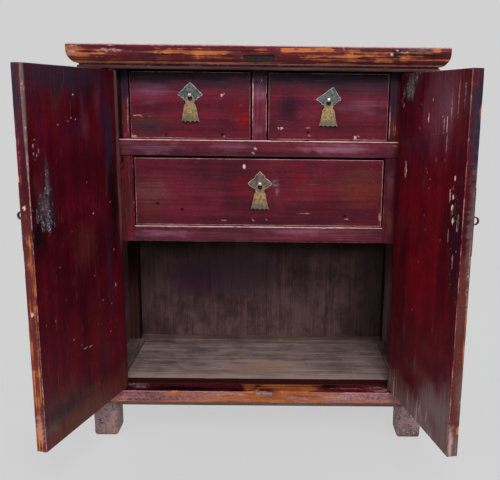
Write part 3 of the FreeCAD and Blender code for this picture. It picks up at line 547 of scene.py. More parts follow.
class Shader:
    """Short names for the nodes that the materials use."""

    def __init__(self, name):
        self.material = bpy.data.materials.new(name)
        self.material.use_nodes = True
        self.nodes = self.material.node_tree.nodes
        self.links = self.material.node_tree.links
        self.surface = self.nodes["Principled BSDF"]

    def put(self, socket, value):
        if isinstance(value, bpy.types.NodeSocket):
            self.links.new(value, socket)
        else:
            socket.default_value = value

    def place(self):
        """Places on the piece, shifted from board to board."""
        where = self.nodes.new("ShaderNodeTexCoord").outputs["Object"]
        shift = self.nodes.new("ShaderNodeAttribute")
        shift.attribute_name = "board"
        add = self.nodes.new("ShaderNodeVectorMath")
        self.links.new(where, add.inputs[0])
        self.links.new(shift.outputs["Vector"], add.inputs[1])
        return add.outputs[0]

    def channels(self, name):
        layer = self.nodes.new("ShaderNodeAttribute")
        layer.attribute_name = name
        split = self.nodes.new("ShaderNodeSeparateColor")
        self.links.new(layer.outputs["Color"], split.inputs[0])
        return [split.outputs[0], split.outputs[1], split.outputs[2], layer.outputs["Alpha"]]

    def scaled(self, vector, scale):
        node = self.nodes.new("ShaderNodeMapping")
        self.links.new(vector, node.inputs["Vector"])
        node.inputs["Scale"].default_value = scale
        return node.outputs[0]

    def noise(self, vector, scale, detail=3.0, rough=0.55, bend=0.0):
        node = self.nodes.new("ShaderNodeTexNoise")
        self.links.new(vector, node.inputs["Vector"])
        node.inputs["Scale"].default_value = scale
        node.inputs["Detail"].default_value = detail
        node.inputs["Roughness"].default_value = rough
        node.inputs["Distortion"].default_value = bend
        return node.outputs[0]

    def cells(self, vector, scale):
        node = self.nodes.new("ShaderNodeTexVoronoi")
        self.links.new(vector, node.inputs["Vector"])
        node.inputs["Scale"].default_value = scale
        return node.outputs["Distance"]

    def ramp(self, value, low, high, start=0.0, stop=1.0):
        node = self.nodes.new("ShaderNodeMapRange")
        node.interpolation_type = "SMOOTHSTEP"
        self.put(node.inputs[0], value)
        for socket, number in zip(list(node.inputs)[1:5], (low, high, start, stop)):
            socket.default_value = number
        return node.outputs[0]

    def math(self, kind, first, second=0.0):
        node = self.nodes.new("ShaderNodeMath")
        node.operation = kind
        self.put(node.inputs[0], first)
        self.put(node.inputs[1], second)
        return node.outputs[0]

    def add(self, *values):
        total = values[0]
        for value in values[1:]:
            total = self.math("ADD", total, value)
        return total

    def times(self, first, second):
        return self.math("MULTIPLY", first, second)

    def swing(self, value, amount):
        """A texture about zero."""
        return self.times(self.add(value, -0.5), amount)

    def stained(self, colour, share, texture, weight, low, high, tint):
        """The colour turned to a tint where a share, made uneven by a texture, is high."""
        uneven = self.add(share, self.times(texture, weight))
        return self.mix(self.ramp(uneven, low, high), colour, rgb(*tint))

    def mix(self, share, first, second, blend="MIX"):
        node = self.nodes.new("ShaderNodeMix")
        node.data_type = "RGBA"
        node.blend_type = blend
        self.put(node.inputs[0], share)
        self.put(node.inputs[6], first)
        self.put(node.inputs[7], second)
        return node.outputs[2]

    def grey(self, value):
        node = self.nodes.new("ShaderNodeCombineColor")
        for socket in node.inputs:
            self.put(socket, value)
        return node.outputs[0]

    def bump(self, height, distance, strength=1.0, before=None):
        node = self.nodes.new("ShaderNodeBump")
        node.inputs["Strength"].default_value = strength
        node.inputs["Distance"].default_value = distance
        self.links.new(height, node.inputs["Height"])
        if before is not None:
            self.links.new(before, node.inputs["Normal"])
        return node.outputs[0]

    def finish(self, colour, rough, normal, metal=0.0, specular=0.5):
        self.put(self.surface.inputs["Base Color"], colour)
        self.put(self.surface.inputs["Roughness"], rough)
        self.put(self.surface.inputs["Metallic"], metal)
        self.surface.inputs["Specular IOR Level"].default_value = specular
        self.links.new(normal, self.surface.inputs["Normal"])
        return self.material


def rgb(red, green, blue):
    """A colour as it is seen on screen, from 0 to 255, in Blender's linear values."""
    def linear(value):
        share = value / 255
        return share / 12.92 if share <= 0.04045 else ((share + 0.055) / 1.055) ** 2.4
    return (linear(red), linear(green), linear(blue), 1.0)


def along(axis, across, length):
    """Scales for a texture that runs along an axis: features per metre across and along."""
    return tuple(length if name == axis else across for name in "xyz")


# Colours as they are seen on screen, from 0 to 255.
LACQUER_TINTS = {
    "brown": (88, 38, 34), "violet": (62, 14, 40), "red": (122, 8, 16), "haze": (126, 78, 98),
    "blue": (42, 28, 44), "grey": (104, 84, 80), "deep": (20, 5, 10), "pit": (16, 7, 8),
    "dust": (188, 142, 140), "pale": (226, 196, 184),
    "flake_dark": (74, 70, 80), "flake_light": (172, 168, 174),
    "wood_dark": (106, 46, 28), "wood_light": (184, 104, 58),
    "rub_dark": (112, 54, 44), "rub_light": (190, 140, 128),
}
BARE_TINTS = {
    "violet": (74, 44, 60), "line": (30, 22, 20), "spot": (34, 24, 24), "pale": (186, 164, 150),
    "orange": (158, 112, 76), "red": (50, 4, 6), "deep": (16, 12, 14), "edge": (140, 118, 104),
    "pit": (18, 12, 10),
}
METAL_TINTS = {
    "speck": (40, 36, 32), "grey": (96, 90, 78), "orange": (104, 58, 38), "pit": (16, 12, 10),
}


def lacquer(name, axis, dark, light, streak):
    """Oxblood lacquer over wood grained along the axis; streak is how much the grain shows."""
    s = Shader(name)
    where = s.place()
    edge, orange, pale, pit = s.channels("wear")
    red, blue, brown, haze = s.channels("tone")
    grey, violet, bright, deep = s.channels("film")
    cloud = s.noise(where, 6.5, 3.0, 0.55)
    patch = s.noise(where, 30.0, 5.0, 0.62, 0.3)
    fine = s.noise(where, 170.0, 4.0, 0.6)
    grain = s.noise(s.scaled(where, along(axis, 230.0, 6.0)), 1.0, 5.0, 0.62, 0.25)
    broad = s.noise(s.scaled(where, along(axis, 42.0, 1.6)), 1.0, 3.0, 0.5, 0.2)
    hair = s.noise(s.scaled(where, along(axis, 900.0, 11.0)), 1.0, 2.0, 0.5)
    tone = s.add(s.times(cloud, 0.62 - streak * 0.3), s.times(patch, 0.1),
                 s.times(broad, 0.28 + streak * 0.3))
    colour = s.mix(s.ramp(tone, 0.38, 0.62), dark, light)
    tint = LACQUER_TINTS
    colour = s.stained(colour, brown, patch, 0.35, 0.3, 1.05, tint["brown"])
    colour = s.stained(colour, violet, patch, 0.3, 0.3, 1.05, tint["violet"])
    colour = s.stained(colour, red, patch, 0.3, 0.3, 1.1, tint["red"])
    # Painted sheen: the fourth tone channel lightens the lacquer to a pale lavender, as a painted
    # reflection.
    colour = s.stained(colour, haze, s.add(patch, grain), 0.22, 0.28, 1.15, tint["haze"])
    # Blue and deep are dark tints of the lacquer; they also carry painted shade under the top and
    # inside the case.
    colour = s.stained(colour, blue, patch, 0.3, 0.25, 1.05, tint["blue"])
    colour = s.stained(colour, grey, s.add(patch, grain), 0.25, 0.35, 1.0, tint["grey"])
    colour = s.stained(colour, deep, patch, 0.3, 0.25, 1.1, tint["deep"])
    shade = s.add(s.ramp(grain, 0.3, 0.7, 1.0 - streak * 0.5, 1.0 + streak * 0.42),
                  s.ramp(fine, 0.3, 0.7, -0.09, 0.09))
    colour = s.mix(1.0, colour, s.grey(shade), "MULTIPLY")
    thin = s.times(s.ramp(hair, 0.66, 0.76), s.ramp(patch, 0.44, 0.62))
    specks = s.times(s.ramp(s.noise(where, 520.0, 2.0), 0.7, 0.76), s.ramp(cloud, 0.4, 0.6))
    dust = s.add(s.times(thin, 0.14 + streak * 0.34), s.times(specks, 0.5),
                 s.ramp(s.add(pale, s.times(fine, 0.7)), 0.5, 1.15))
    dust_colour = (rgb(*tint["dust"]), rgb(*tint["pale"]))
    colour = s.mix(s.math("MINIMUM", dust, 0.92), colour,
                   s.mix(s.ramp(pale, 0.7, 1.0), *dust_colour))
    flake = s.add(bright, s.swing(fine, 1.5), s.swing(patch, 1.1))
    flake_share = s.ramp(s.noise(where, 330.0, 3.0), 0.5, 0.66)
    flake_colour = s.mix(flake_share, rgb(*tint["flake_dark"]), rgb(*tint["flake_light"]))
    colour = s.mix(s.times(s.ramp(flake, 0.38, 0.62), s.ramp(bright, 0.05, 0.2)), colour,
                   flake_colour)
    wood_share = s.ramp(s.add(s.times(grain, 0.6), s.times(patch, 0.4)), 0.38, 0.6)
    wood = s.mix(wood_share, rgb(*tint["wood_dark"]), rgb(*tint["wood_light"]))
    bare = s.add(orange, s.swing(patch, 0.8), s.swing(grain, 1.5), s.swing(hair, 0.7))
    bare = s.ramp(bare, 0.34, 0.62)
    colour = s.mix(s.times(bare, s.ramp(orange, 0.04, 0.15)), colour, wood)
    rub = s.ramp(s.add(edge, s.swing(fine, 0.7), s.swing(patch, 0.9)), 0.5, 0.95)
    rubbed = s.mix(s.ramp(patch, 0.42, 0.6), rgb(*tint["rub_dark"]), rgb(*tint["rub_light"]))
    colour = s.mix(s.times(rub, 0.8), colour, rubbed)
    # Near black for pits, and for painted shade in gaps and grooves.
    colour = s.mix(s.ramp(pit, 0.25, 0.6), colour, rgb(*tint["pit"]))
    rough = s.add(s.ramp(patch, 0.3, 0.7, 0.34, 0.48), s.times(dust, 0.2), s.times(bare, 0.12))
    relief = s.bump(grain, 0.0006, 0.5)
    rough_flake = s.times(bright, s.noise(where, 400.0, 3.0))
    relief = s.bump(s.add(fine, s.times(thin, -0.8), rough_flake), 0.0004, 0.5, relief)
    return s.finish(colour, rough, relief, specular=0.1)


def bare_wood(name, axis, dark, light, stain, streak=1.0, spots=0.55):
    """Dry softwood, grey with age; streak: how much grain shows; spots: how stained it is."""
    s = Shader(name)
    where = s.place()
    edge, orange, pale, pit = s.channels("wear")
    red, blue = s.channels("tone")[:2]
    violet, deep = s.channels("film")[1::2]
    cloud = s.noise(where, 9.0, 4.0, 0.6)
    patch = s.noise(where, 34.0, 6.0, 0.68, 0.5)
    spot = s.noise(where, 95.0, 4.0, 0.6, 0.4)
    grain = s.noise(s.scaled(where, along(axis, 240.0, 9.0)), 1.0, 6.0, 0.66, 0.7)
    broad = s.noise(s.scaled(where, along(axis, 34.0, 2.2)), 1.0, 3.0, 0.5, 1.2)
    line = s.noise(s.scaled(where, along(axis, 700.0, 12.0)), 1.0, 2.0, 0.5)
    tone = s.add(s.times(grain, 0.34 * streak), s.times(broad, 0.2 * streak),
                 s.times(cloud, 0.49 - 0.27 * streak), s.times(patch, 0.51 - 0.27 * streak))
    colour = s.mix(s.ramp(tone, 0.4, 0.62), dark, light)
    smoke = s.add(s.times(patch, 0.6), s.times(cloud, 0.4), blue)
    colour = s.mix(s.ramp(smoke, 0.52, 0.9), colour, stain)
    tint = BARE_TINTS
    colour = s.stained(colour, violet, patch, 0.4, 0.35, 1.1, tint["violet"])
    colour = s.mix(s.times(s.ramp(line, 0.58, 0.68), 0.5 * streak), colour, rgb(*tint["line"]))
    colour = s.mix(s.times(s.ramp(spot, 0.62, 0.72), spots), colour, rgb(*tint["spot"]))
    colour = s.stained(colour, pale, grain, 0.4, 0.35, 1.1, tint["pale"])
    colour = s.stained(colour, orange, patch, 0.4, 0.4, 1.1, tint["orange"])
    colour = s.stained(colour, red, patch, 0.3, 0.3, 1.0, tint["red"])
    colour = s.stained(colour, deep, patch, 0.3, 0.25, 1.15, tint["deep"])
    colour = s.mix(s.times(s.ramp(edge, 0.4, 1.0), 0.2), colour, rgb(*tint["edge"]))
    colour = s.mix(s.ramp(pit, 0.25, 0.6), colour, rgb(*tint["pit"]))
    relief = s.bump(grain, 0.0009, 0.6)
    relief = s.bump(s.add(line, s.times(spot, -0.5)), 0.0004, 0.4, relief)
    return s.finish(colour, s.ramp(patch, 0.3, 0.7, 0.66, 0.82), relief, specular=0.12)


def metal(name, dark, light, shine, rough, metallic, specular=0.5):
    """Old sheet metal: light where it is handled, dark in its hollows."""
    s = Shader(name)
    where = s.place()
    edge, orange, _, pit = s.channels("wear")
    grey = s.channels("film")[0]
    patch = s.noise(where, 210.0, 5.0, 0.65, 0.5)
    fine = s.noise(where, 620.0, 4.0, 0.6)
    cell = s.cells(where, 420.0)
    level = s.add(s.times(patch, 0.6), s.times(fine, 0.4))
    colour = s.mix(s.ramp(level, 0.38, 0.6), dark, light)
    tint = METAL_TINTS
    colour = s.mix(s.times(s.ramp(fine, 0.58, 0.7), 0.65), colour, rgb(*tint["speck"]))
    colour = s.stained(colour, grey, patch, 0.4, 0.35, 1.0, tint["grey"])
    colour = s.stained(colour, orange, patch, 0.4, 0.35, 1.0, tint["orange"])
    handled = s.ramp(s.add(edge, s.swing(fine, 1.3), s.swing(patch, 1.3)), 0.4, 0.95)
    colour = s.mix(handled, colour, shine)
    colour = s.stained(colour, pit, fine, 0.3, 0.4, 1.0, tint["pit"])
    relief = s.bump(s.add(patch, s.times(cell, 0.6)), 0.0005, 0.6)
    relief = s.bump(fine, 0.0002, 0.5, relief)
    roughness = s.ramp(patch, 0.3, 0.7, rough - 0.08, rough + 0.14)
    return s.finish(colour, roughness, relief, metallic, specular)


LACQUER = {
    axis: lacquer("lacquer_" + axis, axis, rgb(62, 13, 26), rgb(98, 22, 38), 0.7) for axis in "xyz"
}
DRAWER_LACQUER = lacquer("drawer_lacquer", "x", rgb(66, 16, 29), rgb(100, 25, 40), 0.42)
DOOR_LACQUER = lacquer("door_lacquer", "z", rgb(56, 5, 16), rgb(84, 7, 22), 0.35)
FLOOR_WOOD = bare_wood("floor_wood", "x", rgb(96, 80, 78), rgb(172, 146, 140), rgb(98, 84, 90),
                       1.0, 0.35)
BACK_WOOD = bare_wood("back_wood", "z", rgb(66, 46, 48), rgb(118, 88, 88), rgb(78, 59, 66),
                      0.75, 0.25)
INNER_WOOD = {
    axis: bare_wood("inner_wood_" + axis, axis, rgb(76, 58, 54), rgb(128, 106, 98), rgb(76, 68, 74))
    for axis in "xyz"
}
COVERED = {axis: [LACQUER[axis], INNER_WOOD[axis]] for axis in "xyz"}
PLATE_METAL = metal("plate_metal", rgb(48, 36, 32), rgb(124, 104, 86), rgb(206, 170, 152), 0.5, 0.3)
PALE_PLATE_METAL = metal("pale_plate_metal",
                         rgb(30, 33, 38), rgb(104, 108, 108), rgb(164, 176, 182),
                         0.5, 0.3)
PENDANT_METAL = metal("pendant_metal", rgb(92, 72, 46), rgb(176, 146, 98), rgb(196, 172, 138),
                      0.46, 0.4)
# The pin's near-white colours are bright worn steel and, in part, a painted highlight.
PIN_METAL = metal("pin_metal", rgb(150, 142, 132), rgb(222, 216, 206), rgb(244, 240, 232), 0.3, 0.6)
IRON = metal("iron", rgb(14, 13, 13), rgb(38, 33, 28), rgb(96, 74, 54), 0.7, 0.0, 0.15)
PALE_IRON = metal("pale_iron", rgb(104, 92, 92),
                  rgb(150, 138, 138), rgb(176, 160, 156), 0.6, 0.1, 0.3)
DULL_IRON = metal("dull_iron", rgb(44, 30, 28), rgb(92, 68, 56), rgb(128, 100, 84), 0.62, 0.3)


# ---- carcass

def fixed(name, parts, materials, **options):
    nodes = options.pop("nodes", (name,))
    return piece(name + "_worn", "cabinet", parts, materials, nodes=nodes, **options)


def mirrored(side, low, high):
    return (low, high) if side > 0 else (-high, -low)


def foot_wear(data):
    """Feet have lost their lacquer: mottled grey sides, tan and rounded at the ends."""
    co = data["co"]
    cloud = noise(co, 22, 5, 3)
    small = noise(co, (7, 7, 11), 6, 3)
    tiny = noise(co, 4.5, 8, 2)
    low = ramp(-co[:, 2] + (cloud - 0.5) * 30, -86, -62)
    end = ramp(-co[:, 2] + (small - 0.5) * 26, -13, -3)
    raise_to(data, grey=low * (0.55 + 0.5 * cloud), pale=low * (0.2 + 0.5 * small),
             light=low * (0.2 + 0.4 * small), deep=low * ramp(tiny, 0.64, 0.8) * 0.6,
             orange=low * 0.36 * tiny + end * 0.3)


def painted_shade_inside(side, row):
    """Painted shade: the sides that face into the case are nearly black, and so are the posts by
    the opening.
    """
    right = side > 0

    def paint(data):
        x, z = data["co"][:, 0], data["co"][:, 2]
        inner = (data["normal"][:, 0] * side < -0.4) & (z > 84)
        raise_to(data, deep=inner * 0.8, brown=inner * 0.8)
        if row == "front":
            beside = (np.abs(x) < INNER_X + 7) * ramp(z, 96, 112)
            raise_to(data, deep=beside * 0.85, brown=beside * 0.8)
            data["wear"][:, :3] *= (1 - 0.7 * beside)[:, None]
        else:
            front = (data["normal"][:, 1] < -0.4) & (z > 100)
            # Painted shade on the back posts' fronts, lighter towards the floor and on the right.
            near_floor = ramp(-z, -340, -240)
            raise_to(data, brown=front * 0.9,
                     deep=front * (0.75 - 0.25 * near_floor - (0.3 if right else 0.0)),
                     grey=front * (0.12 + 0.2 * near_floor + (0.2 if right else 0.0)))
            data["wear"][:, :3] *= (1 - 0.8 * front)[:, None]
    return paint


def make_posts():
    seed = 10
    for row, y in (("front", (FRONT_Y, -POST_Y)), ("back", (POST_Y, REAR_Y))):
        for name, side in SIDES:
            inner_front = 8.0 if row == "front" else 1.8
            radii = [3.0, inner_front, 1.5, 3.0] if side < 0 else [inner_front, 3.0, 3.0, 1.5]
            shaft = board("z", mirrored(side, INNER_X, OUTER_X), y, (0.0, TOP_LOW), radii, sides=8,
                          ends=(9.5, 0.4), wear=1.1, seed=seed, step=6)
            painters = [toned(edge=0.6, blue=0.2, brown=0.1), painted_shade_inside(side, row), foot_wear]
            fixed(f"post_{row}_{name}", [shaft], COVERED["z"], painters=painters, seed=seed)
            seed += 1


CAP_RADIUS = 26.5
CAP_MIDDLE = 32
CAP_ANGLES = (0.1, 0.2034, 0.2148, 0.36, 0.48, 0.6, 0.76, 0.92)
RECESS_HALF = 28.5
RECESS_Y = -159.45
RECESS_Z = (16.9, 26.5)


def frame_section(inner):
    """Section of a top member: bead, groove, rounded cap; the outer edge lies at zero."""
    curve = [
        (CAP_RADIUS - CAP_RADIUS * math.cos(a), CAP_MIDDLE - CAP_RADIUS * math.sin(a))
        for a in CAP_ANGLES
    ]
    bead = [(15.7, 4.8), (15.45, 3.0), (15.7, 1.2)]
    points = [(16.5, 0.0), (inner, 0.0), (inner, CAP_HEIGHT), (0.0, CAP_HEIGHT), (0.0, CAP_MIDDLE)]
    points += curve + [(12.5, 9.5), (18.5, 9.5), (18.5, 6.0), (16.5, 6.0)] + bead
    radii = [0, 0.8, 1.0, 3.0, 0] + [0] * len(curve) + [0.8, 0, 0, 0.5] + [0] * len(bead)
    return points, radii


def cap_paint(front):
    """The cap: lavender arris with painted sheen, orange band, maroon below, a tan lower line and a
    groove painted dark as shade.
    """
    def paint(data):
        co = data["co"]
        x, y, z = co[:, 0], co[:, 1], co[:, 2] - TOP_LOW
        outward = data["normal"][:, 2] < 0.8
        rim = outward | (np.abs(x) > CAP_SIDE - 3) | (np.abs(y) > CAP_FRONT - 3)
        streak = noise(co, (60, 60, 4), 21, 3)
        broad = noise(co, (190, 190, 30), 22, 2)
        dark = ramp(noise(co, (40, 40, 3), 24, 3), 0.5, 0.8)
        bead = ramp(-z, -6.2, -5.6)
        upper = (0.1 + 0.85 * streak + 0.7 * (broad - 0.5)) * outward * (0.9 if front else 0.7)
        lower = outward * (0.08 + 0.42 * streak + 0.12 * ramp(x, 0, 200))
        for orange in (band(z, 25, 31, 37, 41.5) * upper, band(z, 12, 20, 22, 27) * lower,
                       band(z, 9.3, 10.5, 12, 16) * (0.2 + 0.6 * streak) * outward):
            raise_to(data, orange=orange)
        for pale in (band(z, 9.3, 9.9, 11, 12.5) * (0.3 + 0.5 * streak) * outward,
                     ramp(z, 41.5, 43.6) * rim * (0.55 + 0.6 * streak)):
            raise_to(data, pale=pale)
        raise_to(data, deep=ramp(z, 12, 30) * outward * dark * 0.6,
                 brown=ramp(z, 8.5, 12) * (0.3 + 0.5 * broad) * outward,
                 violet=ramp(-np.abs(z - 38), -4, -1) * ramp(-streak, -0.5, -0.3) * outward * 0.6,
                 # Painted sheen along the upper arris; painted shade in the groove.
                 haze=ramp(z, 40.5, 43) * rim * (0.55 + 0.5 * broad),
                 pit=band(z, 5.6, 6.1, 9.0, 9.4) * 0.75,
                 grey=bead * outward * (0.1 + 0.5 * streak))
        raise_to(data, brown=bead * 0.6, deep=bead * 0.5)
    return paint


def top_face(data):
    """The upper side has dulled to a grey brown, with rings and rubbed places."""
    up = top_side(data)
    broad = noise(data["co"], 110, 31, 3)
    worn = noise(data["co"], 60, 33, 3)
    raise_to(data, brown=up * (0.35 + 0.5 * broad), orange=up * ramp(broad, 0.52, 0.85) * 0.6,
             pale=up * ramp(worn, 0.55, 0.9) * 0.4)


TOP_MARKS = [
    (72, 50, 14, 12, "pale", 0.6), (80, 55, 26, 9, "orange", 0.7), (96, 52, 24, 5, "orange", 0.65),
    (88, 58, 26, 5, "pale", 0.4), (110, 50, 30, 3, "pale", 0.5), (130, 51, 26, 4, "orange", 0.6),
    (125, 58, 40, 6, "violet", 0.5), (150, 55, 40, 5, "blue", 0.6),
    (112, 46, 36, 3, "violet", 0.7), (180, 51, 50, 5, "orange", 0.85),
    (205, 52, 46, 6, "orange", 0.95), (218, 52, 30, 5, "orange", 0.9),
    (150, 49, 20, 4, "deep", 0.5), (196, 57, 60, 4, "deep", 0.35), (230, 56, 30, 4, "deep", 0.4),
    (236, 55, 12, 6, "brown", 0.9), (262, 50, 18, 4, "orange", 0.7),
    (286, 51, 12, 6, "orange", 0.95), (272, 56, 10, 8, "deep", 0.6),
    (300, 51, 20, 5, "orange", 0.85), (325, 50, 22, 5, "orange", 0.9),
    (345, 57, 46, 5, "orange", 0.75), (310, 57, 40, 5, "orange", 0.6),
    (372, 53, 22, 4, "orange", 0.6), (360, 61, 40, 3, "orange", 0.55),
    (340, 48, 40, 3, "violet", 0.6), (397, 55, 10, 12, "deep", 0.85),
    (396, 55, 12, 12, "blue", 0.9), (392.5, 55, 1.6, 10, "pale", 0.9, 0.2),
    (398, 51, 6, 1.4, "pale", 0.9, 0.2), (404, 52, 10, 3, "light", 0.6),
    (412, 54, 22, 8, "deep", 0.85), (430, 56, 30, 8, "deep", 0.8), (420, 64, 50, 5, "deep", 0.6),
    (405, 59, 30, 3, "orange", 0.5), (420, 51, 30, 5, "grey", 0.6),
    (437, 51, 6, 5, "orange", 0.85), (443, 56, 8, 5, "blue", 0.9), (255, 50, 22, 5, "violet", 0.5),
    (446, 60, 10, 8, "deep", 0.6), (300, 58, 34, 5, "violet", 0.4), (320, 60, 30, 4, "brown", 0.8),
    (270, 62, 30, 4, "brown", 0.7), (243, 59, 3, 9, "brown", 0.9), (277, 58, 3, 9, "brown", 0.9),
    (241.5, 58, 1.6, 7, "light", 0.6),
]


def cut_back(part):
    """The shallow recess that the small plate lies in."""
    co = part["co"]
    z = co[:, 2] - TOP_LOW
    hit = (np.abs(part["station"]) < RECESS_HALF) & (z > RECESS_Z[0]) & (z < RECESS_Z[1])
    co[hit & (co[:, 1] < RECESS_Y), 1] = RECESS_Y


def make_top():
    points, radii = frame_section(65.0)
    members = (
        ("front", CAP_SIDE, CAP_FRONT, 0), ("back", CAP_SIDE, CAP_FRONT, 180),
        ("left", CAP_FRONT, CAP_SIDE, -90), ("right", CAP_FRONT, CAP_SIDE, 90),
    )
    sides = [30] * len(points)
    sides[3] = 4
    recess = [way * RECESS_HALF + add for way, add in ((-1, -FIT), (-1, FIT), (1, -FIT), (1, FIT))]
    for number, (name, half, reach, degrees) in enumerate(members):
        front = name == "front"
        corners = [(u - reach, w + TOP_LOW) for u, w in points]
        part = sweep("x", (-half, half), corners, radii, sides=sides, step=5 if front else 8,
                     ends=(0.01, 0.01), wear=0.9, seed=40 + number, sag=0.4, mitre=-reach,
                     extra=recess if front else ())
        painters = [toned(edge=0.5), cap_paint(front), top_face]
        if front:
            cut_back(part)
            painters.append(seen_marks((0, -CAP_FRONT, 785), TOWARDS_FRONT, TOP_MARKS))
        axis = "x" if name in ("front", "back") else "y"
        fixed(f"top_frame_{name}", [turned(part, degrees)], [LACQUER[axis]], painters=painters,
              seed=40 + number)
    panel = [
        board("x", (-294.6, 294.6), y, (788.0, 801.8), 0.7, step=9, sides=9, wear=0.6, seed=seed,
              sag=0.4)
        for y, seed in (((-98.6, -22.1), 50), ((-22.0, 98.6), 51))
    ]
    fixed("top_panel", panel, COVERED["x"], painters=[toned(brown=0.2), top_face],
          pick=lambda n, c: 1 if n.z < -0.8 else 0, seed=50)


def wedge(side):
    """The pointed end of the sill, lapped over the front of a post."""
    front = FRONT_Y - 0.25
    rear = front + 10
    tip = INNER_X + 15.2
    spots = [
        (INNER_X, front, SILL_POINT), (tip, front, SILL_POINT), (INNER_X, front, SILL_HIGH),
        (INNER_X, front + 6, SILL_LOW), (INNER_X, rear, SILL_LOW), (tip, rear, SILL_POINT),
        (INNER_X, rear, SILL_HIGH),
    ]
    mesh = bmesh.new()
    for x, y, z in spots:
        mesh.verts.new((x * side, y, z))
    bmesh.ops.convex_hull(mesh, input=mesh.verts)
    bmesh.ops.bevel(mesh, geom=mesh.edges[:], offset=0.5, segments=2, affect="EDGES",
                    clamp_overlap=True)
    bmesh.ops.recalc_face_normals(mesh, faces=mesh.faces)
    mesh.verts.index_update()
    mesh.normal_update()
    co = np.array([v.co[:] for v in mesh.verts])
    normal = np.array([v.normal[:] for v in mesh.verts])
    part = plain_part(co, normal, 0.45, [[v.index for v in f.verts] for f in mesh.faces])
    mesh.free()
    return part


SILL_MARKS = [
    (290, 388, 70, 9, "orange", 0.9), (262, 390, 40, 6, "orange", 0.9),
    (330, 393, 60, 6, "orange", 0.7), (282, 396, 20, 8, "pale", 0.55),
    (180, 394, 50, 6, "orange", 0.65), (232, 396, 50, 6, "orange", 0.8),
    (134, 395, 30, 8, "haze", 1.0), (128, 396, 14, 8, "violet", 0.5),
    (205, 394, 40, 5, "orange", 0.6), (376, 397, 20, 6, "haze", 0.9),
    (300, 396, 60, 5, "orange", 0.9), (350, 395, 40, 8, "haze", 0.7),
    (120, 397, 14, 6, "haze", 0.8), (392, 397, 14, 8, "blue", 0.95),
    (388, 397, 16, 8, "light", 0.5), (350, 398, 40, 4, "pale", 0.35),
    (160, 398, 30, 4, "pale", 0.35), (114, 400, 8, 3, "pale", 1.0),
    (176, 392, 8, 3, "orange", 1.0), (200, 396, 60, 4, "pale", 0.3),
]
SILL_TOP_MARKS = [
    (290, 388, 60, 9, "orange", 1.1), (275, 386, 34, 8, "orange", 1.0),
    (310, 388, 20, 5, "orange", 0.9), (248, 386, 13, 9, "orange", 0.95),
    (248, 390.6, 15, 1.2, "deep", 0.9), (241, 386, 1.2, 9, "deep", 0.8),
    (256.8, 386, 1.2, 9, "deep", 1.0), (248, 381.4, 14, 1.0, "orange", 0.7),
    (205, 382, 30, 2.0, "orange", 0.6), (190, 389, 100, 5, "deep", 1.1),
    (135, 384, 24, 2.4, "light", 0.8), (140, 386.5, 24, 2.0, "pale", 0.6),
    (296, 384, 10, 2, "deep", 0.6), (330, 386, 30, 6, "deep", 0.9),
    (350, 388, 60, 2.0, "orange", 0.5), (345, 389, 50, 1.4, "pale", 0.4),
    (370, 385, 26, 1.6, "light", 0.7), (376, 388, 26, 1.6, "pale", 0.7),
    (380, 391, 24, 1.4, "pale", 0.6), (360, 386.5, 26, 1.2, "pale", 0.4),
    (386, 389.5, 8, 3, "pale", 0.6), (228, 384, 16, 2, "orange", 0.5),
]


def sill_paint(data):
    """The sill: pale top arris, tan front with painted sheen, rubbed arris, a dull bevel with some
    painted shade, dark red upper side.
    """
    co = data["co"]
    x, y, z = co.T
    up, front = top_side(data), front_side(data)
    streak = noise(co, (60, 20, 4), 61, 3)
    broad = noise(co, (120, 60, 30), 64, 2)
    tan = 0.16 + 0.3 * streak + 0.44 * bell((x, 45, 140))
    rubbed = 0.2 + 0.1 * ramp(x, -100, 220) + 0.22 * streak + 0.5 * bell((x, 25, 120))
    raise_to(data, brown=front * 0.95, haze=front * (0.2 + 0.35 * broad), orange=front * tan,
             pale=front * rubbed)
    raise_to(data, pale=ramp(z, 101.0, 103.5) * ~up * (0.7 + 0.5 * streak),
             orange=ramp(-np.abs(z - SILL_POINT - 1), -3.0, -0.5) * (0.35 + 0.6 * streak))
    raise_to(data, pale=ramp(-np.abs(z - SILL_POINT - 0.5), -2.0, -0.3) * (0.3 + 0.7 * streak))
    # The downward bevel loses its sheen and wear, and is painted dull grey brown with some painted
    # shade.
    bevel = (z < SILL_POINT - 0.6) & (y < -120)
    for channel in ("haze", "orange", "pale"):
        table, column = CHANNELS[channel]
        data[table][bevel, column] = 0.0
    raise_to(data, grey=bevel * (0.45 + 0.4 * broad), brown=bevel * 0.9, deep=bevel * 0.25)
    raise_to(data, deep=up * ramp(-y, 118, 126) * ramp(-np.abs(x - 30), -90, -40) * 0.2)
    raise_to(data, deep=up * (0.25 + 0.3 * streak), red=up * 0.35)


